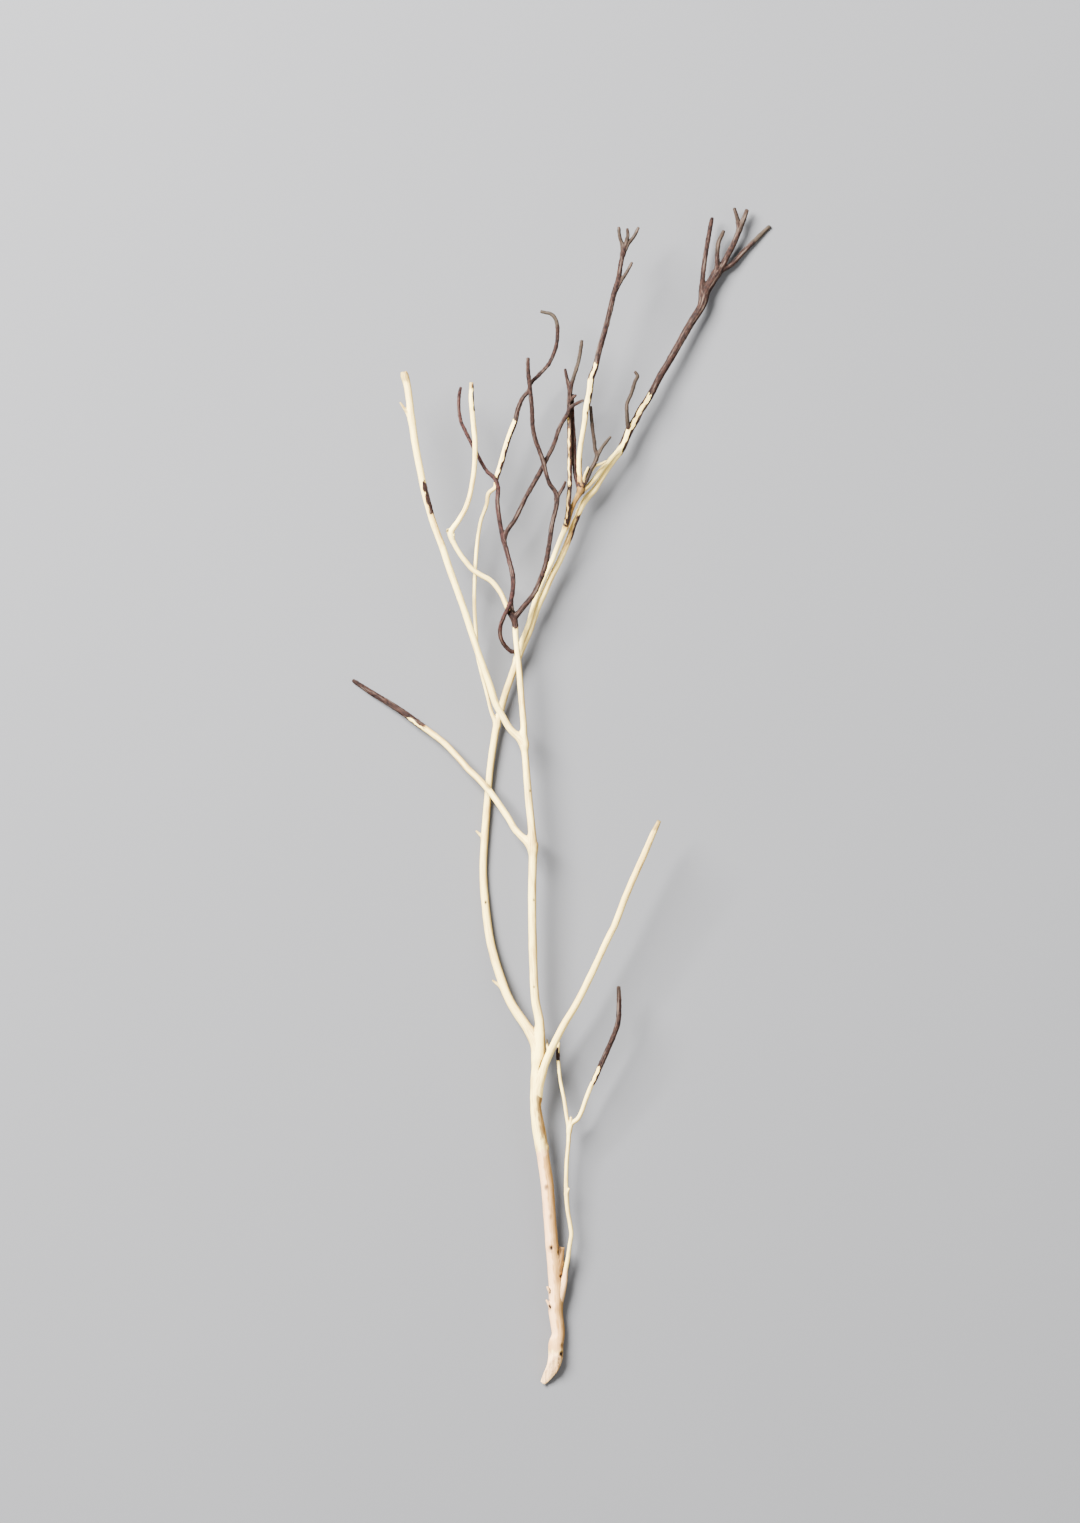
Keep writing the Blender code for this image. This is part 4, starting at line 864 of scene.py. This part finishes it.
def close_ends(limb, places, layers):
    """Joins the rings with faces and closes both ends."""
    sides = places.shape[1]
    rim = np.zeros((sides, 3))
    rim[:, 0] = 3.0 * np.arange(sides)
    jags = ripple(rim, 9, limb.seed + 9)
    blocks, marks = [places], {name: [field] for name, field in layers.items()}
    order = list(range(len(places)))
    total = len(places)
    for first, shapes in ((True, START_OF), (False, END_OF)):
        shape = shapes.get(limb.name, "round")
        i = 0 if first else len(places) - 1
        out = -limb.heading[i] if first else limb.heading[i]
        middle = places[i].mean(0)
        radius = limb.radii[i]
        for share, way in END_SHAPES[shape]:
            jag = jags[:, None] * out * radius * RIM_JAG * share if shape != "round" else 0
            blocks.append((middle + (places[i] - middle) * share + out * radius * way + jag)[None])
            for name, field in layers.items():
                marks[name].append(field[i : i + 1] * 1.0)
            # The inside of the hollow end is painted fully dark: painted shade in the hollow.
            if shape == "hollow" and way < 0:
                marks["dark"][-1] = np.full((1, sides), 1.0)
            if shape == "broken":
                marks["stain"][-1] = np.maximum(marks["stain"][-1], BROKEN_STAIN)
            order = [total, *order] if first else [*order, total]
            total += 1
    vertices = np.concatenate(blocks).reshape(-1, 3)
    values = {}
    for name, found in marks.items():
        joined = np.concatenate(found)
        values[name] = joined.reshape(-1, 3) if name == "grain" else joined.reshape(-1)
    index = np.array(order)[:, None] * sides + np.arange(sides)
    around = np.roll(index, -1, axis=1)
    faces = np.stack([index[:-1], around[:-1], around[1:], index[1:]], -1).reshape(-1, 4).tolist()
    for last, flip in ((index[0], True), (index[-1], False)):
        pole = len(vertices)
        vertices = np.vstack([vertices, vertices[last].mean(0)])
        for name in values:
            values[name] = np.concatenate([values[name], values[name][last[:1]]])
        for k in range(sides):
            pair = (int(last[k]), int(last[(k + 1) % sides]))
            faces.append((pair[1], pair[0], pole) if flip else (pair[0], pair[1], pole))
    return vertices, faces, values


def tear_butt(vertices, layers):
    """Cuts the butt's top away along its slanting, splintered tear."""
    x, y = vertices[:, 0] - PLAN_SHIFT[0], vertices[:, 1] - PLAN_SHIFT[1]
    slope = (TEAR_TOP - TEAR_TIP) / (TEAR_START - TEAR_END)
    ridges = ripple(np.stack([x, np.zeros_like(x), y * 0.06], 1), 2.6, 71)
    steps = ripple(np.stack([x * 0.5, y * 0.25, y * 0], 1), 5.0, 72)
    face = TEAR_TIP + (y - TEAR_END) * slope + RIDGE_HEIGHT * ridges + STEP_HEIGHT * steps
    wall = smooth_step((y - TEAR_START + 3.0 + 1.2 * ridges) / 2.2) * TEAR_WALL
    height = vertices[:, 2] - PLAN_SHIFT[2]
    cut = (height > face + wall) & (y < TEAR_START + TEAR_WALL)
    vertices[:, 2] = np.where(cut, np.maximum(face + wall, TEAR_LEAST), height) + PLAN_SHIFT[2]
    layers["stain"] = np.where(cut, 0.25 * (ridges < -0.9), layers["stain"])
    layers["tan"] = np.where(cut, 0.2 * (ridges < 0), layers["tan"])
    layers["dark"] = np.where(cut & (ridges < -1.1), 0.5, layers["dark"])
    layers["torn"] = np.where(cut & (y > FIBRE_START), 1.0, 0.0)


def limb_piece(route):
    """A limb with its own small twigs, as one object that stands for the limb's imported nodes."""
    sizes = bpy.context.scene.branch_sizes
    vertices, faces, layers = [], [], {}
    count = 0
    for name in [route] + [spur for spur in SPURS if spur.split(".")[0] == route]:
        limb = Limb.named(name)
        sides = sizes.thick_sides if limb.radii.max() > THICK / 2 else sizes.thin_sides
        spots, polygons, fields = limb_surface(limb, sides)
        if name == "stem":
            tear_butt(spots, fields)
        vertices.append(spots)
        faces.extend([tuple(corner + count for corner in polygon) for polygon in polygons])
        for layer, field in fields.items():
            layers.setdefault(layer, []).append(field)
        count += len(spots)
    mesh = bpy.data.meshes.new(route)
    points = np.concatenate(vertices)
    points[:, 2] = np.maximum(points[:, 2], LOWEST)
    mesh.from_pydata((points * MM).tolist(), [], faces)
    for layer, fields in layers.items():
        joined = np.concatenate(fields)
        if layer == "grain":
            mesh.attributes.new(layer, "FLOAT_VECTOR", "POINT").data.foreach_set("vector", joined.ravel())
        else:
            mesh.attributes.new(layer, "FLOAT", "POINT").data.foreach_set("value", joined.ravel())
    mesh.shade_smooth()
    mesh.update()
    piece = bpy.data.objects.new(route + "_wood", mesh)
    bpy.context.scene.collection.objects.link(piece)
    mesh.materials.append(weathered_wood(route))
    settle(piece)
    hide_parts(*NODES[route])


def settle(piece):
    """Says which body carries a piece."""
    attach(piece, "root")


def arithmetic(operation):
    """The methods for a sum with a wire at its left and with one at its right."""
    return (
        lambda wire, other: wire.maths(operation, wire, other),
        lambda wire, other: wire.maths(operation, other, wire),
    )


class Wire:
    """A value in a node tree. Arithmetic on it adds Math nodes."""

    __add__, __radd__ = arithmetic("ADD")
    __sub__, __rsub__ = arithmetic("SUBTRACT")
    __mul__, __rmul__ = arithmetic("MULTIPLY")

    def __init__(self, tree, socket):
        self.tree = tree
        self.socket = socket

    def maths(self, operation, *values):
        """A Math node on the values."""
        return self.tree.node("ShaderNodeMath", {"operation": operation}, dict(enumerate(values)))

    def __abs__(self):
        return self.maths("ABSOLUTE", self)

    def above(self, low, high):
        """0 below low and 1 above high, with a smooth rise between."""
        settings = {"interpolation_type": "SMOOTHSTEP"}
        values = {"Value": self, "From Min": low, "From Max": high}
        return self.tree.node("ShaderNodeMapRange", settings, values)

    def over(self, limit):
        """True where the value is greater than limit."""
        return self.maths("GREATER_THAN", self, limit)


class Nodes:
    """A node tree that is being built."""

    def __init__(self, tree):
        self.tree = tree
        tree.nodes.clear()

    def node(self, kind, settings=None, values=None, out=0):
        """A node as the wire of one of its outputs. Settings come before the values of its sockets."""
        made = self.tree.nodes.new(kind)
        for key, value in (settings or {}).items():
            setattr(made, key, value)
        for key, value in (values or {}).items():
            wires = value if isinstance(value, list) else [value]
            for wire in wires:
                if isinstance(wire, Wire):
                    self.tree.links.new(wire.socket, made.inputs[key])
                else:
                    made.inputs[key].default_value = wire
        return Wire(self, made.outputs[out]) if len(made.outputs) else None


class Finish(Nodes):
    """The nodes of one material."""

    def __init__(self, name):
        self.material = bpy.data.materials.new(name)
        self.material.use_nodes = True
        super().__init__(self.material.node_tree)

    def mix(self, share, a, b):
        """From colour a to colour b. Sockets 6 and 7 and output 2 are the ones for colours."""
        values = {0: share}
        for key, colour in ((6, a), (7, b)):
            values[key] = colour if isinstance(colour, Wire) else (*colour, 1.0)
        return self.node("ShaderNodeMix", {"data_type": "RGBA"}, values, out=2)

    def layer(self, name):
        """A paint layer of the limb."""
        return self.node("ShaderNodeAttribute", {"attribute_name": name}, out="Fac")

    def grain_noise(self, scale, stretch, detail=3.0, rough=0.55, offset=0.0):
        """Noise with scale waves a millimetre round the limb, and stretch times longer ones along it."""
        place = self.node("ShaderNodeAttribute", {"attribute_name": "grain"}, out="Vector")
        scales = (scale, scale, scale / stretch)
        for operation, vector in (("MULTIPLY", scales), ("ADD", (offset, offset, offset))):
            place = self.node("ShaderNodeVectorMath", {"operation": operation}, {0: place, 1: vector})
        values = {"Vector": place, "Scale": 1.0, "Detail": detail, "Roughness": rough}
        return self.node("ShaderNodeTexNoise", {}, values)

    def plain_noise(self, scale, detail):
        """Noise with scale waves a metre."""
        place = self.node("ShaderNodeTexCoord", {}, {}, out="Object")
        return self.node("ShaderNodeTexNoise", {}, {"Vector": place, "Scale": scale, "Detail": detail})

    def finish(self, colour, roughness, height=None, distance=0.0):
        """The shader and the output. height, where it is given, makes bumps that are distance high."""
        values = {"Base Color": colour, "Roughness": roughness, "Specular IOR Level": 0.1}
        if height is not None:
            bumps = {"Strength": 1.0, "Distance": distance, "Height": height}
            values["Normal"] = self.node("ShaderNodeBump", {}, bumps)
        shader = self.node("ShaderNodeBsdfPrincipled", {}, values)
        self.node("ShaderNodeOutputMaterial", {}, {"Surface": shader})
        return self.material


class Strewing(Nodes):
    """A Geometry Nodes tree that strews small things over the limbs where a paint layer calls for them."""

    def __init__(self, name, sizes):
        super().__init__(bpy.data.node_groups.new(name, "GeometryNodeTree"))
        self.sizes = sizes
        self.tree.interface.new_socket("Geometry", in_out="INPUT", socket_type="NodeSocketGeometry")
        for label in sizes:
            self.tree.interface.new_socket(label, in_out="INPUT", socket_type="NodeSocketFloat")
        self.tree.interface.new_socket("Geometry", in_out="OUTPUT", socket_type="NodeSocketGeometry")
        self.given = self.tree.nodes.new("NodeGroupInput")

    def size(self, label):
        """One of the tree's own settings."""
        return Wire(self, self.given.outputs[label])

    def layer(self, name):
        """A paint layer of the limbs."""
        return self.node("GeometryNodeInputNamedAttribute", {"data_type": "FLOAT"}, {"Name": name})

    def random(self, low, high, seed, kind="FLOAT"):
        """A random value for each point. Vectors use the node's first sockets and numbers the next ones."""
        first = 0 if kind == "FLOAT_VECTOR" else 2
        values = {first: low, first + 1: high, "Seed": seed}
        return self.node("FunctionNodeRandomValue", {"data_type": kind}, values, out=first // 2)

    def spots(self, hosts, chosen, seed):
        """Points over the hosts where chosen is true, and the rotation that stands a thing up on each."""
        info = [self.node("GeometryNodeObjectInfo", {}, {"Object": host}, out="Geometry") for host in hosts]
        joined = self.node("GeometryNodeJoinGeometry", {}, {"Geometry": info})
        values = {"Mesh": joined, "Selection": chosen, "Density": self.size(DENSITY), "Seed": seed}
        points = self.node("GeometryNodeDistributePointsOnFaces", {"distribute_method": "RANDOM"}, values)
        return points, Wire(self, points.socket.node.outputs["Rotation"])

    def strew(self, name, points, thing, turn, scale, material):
        """The things at the points, as one plain mesh object."""
        values = {"Points": points, "Instance": thing, "Rotation": turn, "Scale": scale}
        placed = self.node("GeometryNodeInstanceOnPoints", {}, values)
        real = self.node("GeometryNodeRealizeInstances", {}, {"Geometry": placed})
        smooth = self.node("GeometryNodeSetShadeSmooth", {}, {"Geometry": real})
        coated = self.node("GeometryNodeSetMaterial", {}, {"Geometry": smooth, "Material": material})
        self.node("NodeGroupOutput", {}, {0: coated})
        piece = bpy.data.objects.new(name, bpy.data.meshes.new(name))
        bpy.context.scene.collection.objects.link(piece)
        step = piece.modifiers.new(name, "NODES")
        step.node_group = self.tree
        for socket in self.tree.interface.items_tree:
            if socket.in_out == "INPUT" and socket.name in self.sizes:
                step[socket.identifier] = self.sizes[socket.name]
        evaluated = piece.evaluated_get(bpy.context.evaluated_depsgraph_get())
        made = bpy.data.meshes.new_from_object(evaluated)
        piece.modifiers.clear()
        piece.data = made
        if len(made.polygons) == 0:
            raise RuntimeError(f"{name} came out empty")
        return piece


def weathered_wood(route):
    """Bare wood with its grain, stains, hollows and painted shade, and bark where the bark layer says."""
    colours = bpy.context.scene.branch_colours
    tree = Finish(route + "_weathered_wood")
    streaks = tree.grain_noise(0.9, 22, detail=4)
    broad = tree.grain_noise(0.09, 3, detail=2, offset=7)
    lines = 1 - abs(tree.grain_noise(0.55, 30, detail=2, offset=13) - 0.5) * 9
    cracks = lines.above(0.55, 0.95) * broad.above(0.48, 0.62)
    shade = (streaks - 0.5) * 2.2 + (broad - 0.5) * 1.4 + 0.26
    wood = tree.mix(shade.above(0.0, 1.0), colours.peeled, colours.peeled_shade)
    wood = tree.mix(tree.layer("blush") * (0.6 + 0.5 * streaks), wood, colours.blush)
    wood = tree.mix(tree.layer("tan") * (0.2 + 1.25 * streaks), wood, colours.tan)
    # Painted shade on the side of each limb away from the main light.
    wood = tree.mix(tree.layer("flank") * (0.5 + 0.5 * streaks), wood, colours.flank)
    wood = tree.mix(tree.layer("stain") * (0.6 + 0.5 * streaks), wood, colours.stain)
    wood = tree.mix(cracks * 0.35, wood, colours.stain)
    # Dark knots and marks, and painted shade in holes, clefts and the hollow end.
    wood = tree.mix(tree.layer("dark").above(0.1, 0.9), wood, colours.hollow)

    mottle = tree.grain_noise(0.5, 1.6, detail=5, rough=0.65, offset=3)
    film = tree.grain_noise(0.8, 16, detail=4, rough=0.6, offset=21)
    light = colours.red_bark if route in ("looping", "red") else colours.bark_light
    bark = tree.mix(mottle.above(0.34, 0.68), colours.bark_dark, light)
    # Pale streaks along the bark: a worn grey film, and painted sheen standing in for thin highlights.
    bark = tree.mix(film.above(0.53, 0.66) * 0.5, bark, colours.bark_worn_and_sheen)
    bark = tree.mix(tree.layer("grey") * (0.4 + 0.6 * mottle), bark, colours.twig_tip)
    bark = tree.mix(tree.layer("dark"), bark, colours.hollow)

    ragged = tree.layer("bark") + (tree.grain_noise(1.6, 3, detail=4, offset=31) - 0.5) * 0.3
    covered = ragged.above(0.47, 0.53)
    rim = ragged.above(0.24, 0.46) * 0.75
    colour = tree.mix(covered, tree.mix(rim, wood, colours.inner_bark), bark)
    roughness = 0.5 + 0.22 * streaks + covered * (0.1 + 0.16 * mottle)
    fissures = tree.grain_noise(1.1, 5, detail=5, rough=0.7, offset=41)
    height = streaks * 0.5 - cracks * 0.8 + covered * (fissures * 1.2 + mottle * 0.6)
    return tree.finish(colour, roughness, height, 0.12 * MM)


def plain_finish(name, pale, deep, scale):
    """A simple mottled finish for very small pieces."""
    tree = Finish(name)
    noise = tree.plain_noise(scale, detail=3.0)
    colour = tree.mix(noise.above(0.35, 0.65), deep, pale)
    return tree.finish(colour, 0.6 + 0.2 * noise, noise, 0.05 * MM)


def limb_pieces():
    """The built limbs, which the small things are strewn over."""
    return [bpy.data.objects[route + "_wood"] for route in ROUTES]


def flat_ball(tree, shape):
    """A ball one across, drawn out and flattened to a shape."""
    ball = tree.node("GeometryNodeMeshIcoSphere", {}, {"Radius": 0.5, "Subdivisions": 1})
    return tree.node("GeometryNodeTransform", {}, {"Geometry": ball, "Scale": shape})


def bark_dots():
    """The small raised pores of the bark."""
    colours, details = bpy.context.scene.branch_colours, bpy.context.scene.branch_details
    sizes = {DENSITY: details.dots, "Smallest": 0.5 * details.dot_size, "Largest": details.dot_size}
    tree = Strewing("bark_dots", sizes)
    points, turn = tree.spots(limb_pieces(), tree.layer("bark").over(0.8), 4)
    size = tree.random(tree.size("Smallest"), tree.size("Largest"), 11)
    pore = flat_ball(tree, (1.0, 1.5, 0.55))
    finish = plain_finish("pore_finish", colours.dot, colours.bark_light, 900.0)
    settle(tree.strew("bark_dots", points, pore, turn, size, finish))


def bark_flakes():
    """Curled bits of bark along the edges where it has come away."""
    colours, details = bpy.context.scene.branch_colours, bpy.context.scene.branch_details
    sizes = {DENSITY: details.flakes, "Smallest": 0.5 * details.flake_size, "Largest": details.flake_size}
    tree = Strewing("bark_flakes", sizes)
    band = 1 - abs(tree.layer("bark") - 0.55) * 5
    points, turn = tree.spots(limb_pieces(), band.over(0.0), 8)
    tilt = tree.random((-0.5, -0.5, -0.35), (0.5, 0.5, 0.35), 13, "FLOAT_VECTOR")
    values = {"Rotation": turn, "Rotate By": tilt}
    tilted = tree.node("FunctionNodeRotateRotation", {"rotation_space": "LOCAL"}, values)
    size = tree.random(tree.size("Smallest"), tree.size("Largest"), 12)
    flake = flat_ball(tree, (1.3, 0.5, 0.16))
    finish = plain_finish("flake_finish", colours.inner_bark, colours.bark_light, 600.0)
    settle(tree.strew("bark_flakes", points, flake, tilted, size, finish))


def butt_splinters():
    """Fine fibres that stand off the torn face of the butt, along its grain."""
    colours, details = bpy.context.scene.branch_colours, bpy.context.scene.branch_details
    sizes = {DENSITY: details.fibres, "Shortest": 0.4, "Longest": 1.0}
    tree = Strewing("butt_splinters", sizes)
    points, _turn = tree.spots([bpy.data.objects["stem_wood"]], tree.layer("torn"), 5)
    size = tree.random(tree.size("Shortest"), tree.size("Longest"), 14)
    shape = {"Vertices": 7, "Side Segments": 4, "Radius Top": 0.0, "Radius Bottom": 0.28 * MM}
    shape["Depth"] = details.fibre_length
    cone = tree.node("GeometryNodeMeshCone", {"fill_type": "NGON"}, shape)
    turn = tree.random((1.82, -0.12, -0.14), (2.0, 0.12, 0.14), 15, "FLOAT_VECTOR")
    finish = plain_finish("splinter_finish", colours.blush, colours.tan, 300.0)
    settle(tree.strew("butt_splinters", points, cone, turn, size, finish))


def soft_light(name, place, side, power):
    """A square light that looks at the middle of the floor and that the camera doesn't see."""
    lamp = bpy.data.lights.new(name, "AREA")
    lamp.shape = "SQUARE"
    lamp.size = side
    lamp.energy = power
    light = bpy.data.objects.new(name, lamp)
    light.location = place
    light.rotation_euler = light.location.to_track_quat("Z", "Y").to_euler()
    light.visible_camera = False
    bpy.context.scene.collection.objects.link(light)


class BRANCH_OT_long_limbs(bpy.types.Operator):
    """Builds the stem with the limbs that carry everything else"""

    bl_idname = "branch.long_limbs"
    bl_label = "Stem and twin limbs"

    def execute(self, context):
        for route in ("stem", "left", "inner"):
            limb_piece(route)
        return {"FINISHED"}


class BRANCH_OT_side_limbs(bpy.types.Operator):
    """Builds the four side limbs and the twin strand"""

    bl_idname = "branch.side_limbs"
    bl_label = "Side limbs"

    def execute(self, context):
        for route in ("right", "left_side", "upper_left", "low_side", "twin_strand"):
            limb_piece(route)
        return {"FINISHED"}


class BRANCH_OT_crown_twigs(bpy.types.Operator):
    """Builds the thin twigs of the crown"""

    bl_idname = "branch.crown_twigs"
    bl_label = "Crown twigs"

    def execute(self, context):
        for route in ("thin_pale", "looping", "crossing", "dark_right", "grey", "red", "tangled", "hooked"):
            limb_piece(route)
        return {"FINISHED"}


class BRANCH_OT_small_details(bpy.types.Operator):
    """Strews pores and flakes over the bark and splinters over the torn butt"""

    bl_idname = "branch.small_details"
    bl_label = "Pores, flakes and splinters"

    def execute(self, context):
        bark_dots()
        bark_flakes()
        butt_splinters()
        return {"FINISHED"}


class BRANCH_OT_stage(bpy.types.Operator):
    """Builds the floor, the lights and the camera"""

    bl_idname = "branch.stage"
    bl_label = "Floor, light and camera"

    def execute(self, context):
        settings = context.scene.branch_stage
        half = settings.floor_side / 2
        mesh = bpy.data.meshes.new("floor")
        corners = [(-half, -half, 0), (half, -half, 0), (half, half, 0), (-half, half, 0)]
        mesh.from_pydata(corners, [], [(0, 1, 2, 3)])
        floor = bpy.data.objects.new("floor", mesh)
        context.scene.collection.objects.link(floor)
        mesh.materials.append(floor_paint(settings.floor_colour))
        soft_light("main_light", *MAIN_LIGHT, settings.main_power)
        soft_light("fill_light", *FILL_LIGHT, settings.fill_power)
        world = bpy.data.worlds.new("room")
        world.use_nodes = True
        background = world.node_tree.nodes["Background"]
        background.inputs["Color"].default_value = (1.0, 1.0, 1.0, 1.0)
        background.inputs["Strength"].default_value = settings.room_light
        context.scene.world = world
        add_camera(settings.camera_height)
        return {"FINISHED"}


def floor_paint(pale):
    """A plain matt finish, a shade darker here and there."""
    tree = Finish("pale_floor")
    speckle = tree.plain_noise(3.0, detail=2.0)
    darker = [0.94 * channel for channel in pale]
    return tree.finish(tree.mix(speckle, darker, pale), 0.85 + 0.1 * speckle)


def add_camera(height):
    """The camera straight over the branch, with the photograph's frame."""
    lens = bpy.data.cameras.new("camera")
    lens.sensor_width = SENSOR
    lens.lens = SENSOR * (height - VIEW_HEIGHT * MM) / (VIEW_LENGTH * MM)
    lens.clip_end = 3 * height
    camera = bpy.data.objects.new("camera", lens)
    x, y = ((VIEW_CENTRE[k] + PLAN_SHIFT[k]) * MM for k in range(2))
    camera.location = (x, y, height)
    bpy.context.scene.collection.objects.link(camera)
    bpy.context.scene.camera = camera


class BRANCH_PT_panel(bpy.types.Panel):
    """The branch's pieces and settings"""

    bl_label = "Fallen branch"
    bl_idname = "BRANCH_PT_panel"
    bl_space_type = "VIEW_3D"
    bl_region_type = "UI"
    bl_category = "Branch"

    def draw(self, context):
        for operator in OPERATORS:
            self.layout.operator(operator.bl_idname)
        for name, group in GROUPS.items():
            for setting in group.__annotations__:
                self.layout.prop(getattr(context.scene, name), setting)


OPERATORS = (
    BRANCH_OT_long_limbs,
    BRANCH_OT_side_limbs,
    BRANCH_OT_crown_twigs,
    BRANCH_OT_small_details,
    BRANCH_OT_stage,
)
GROUPS = {
    "branch_sizes": BranchSizes,
    "branch_colours": BranchColours,
    "branch_details": BranchDetails,
    "branch_stage": BranchStage,
}


def register():
    for each in (*GROUPS.values(), *OPERATORS, BRANCH_PT_panel):
        bpy.utils.register_class(each)
    for name, group in GROUPS.items():
        setattr(bpy.types.Scene, name, PointerProperty(type=group))


def unregister():
    for name in GROUPS:
        delattr(bpy.types.Scene, name)
    for each in reversed((*GROUPS.values(), *OPERATORS, BRANCH_PT_panel)):
        bpy.utils.unregister_class(each)


def main():
    register()
    bpy.ops.branch.long_limbs()
    bpy.ops.branch.side_limbs()
    bpy.ops.branch.crown_twigs()
    bpy.ops.branch.small_details()
    bpy.ops.branch.stage()


if __name__ == "__main__":
    main()
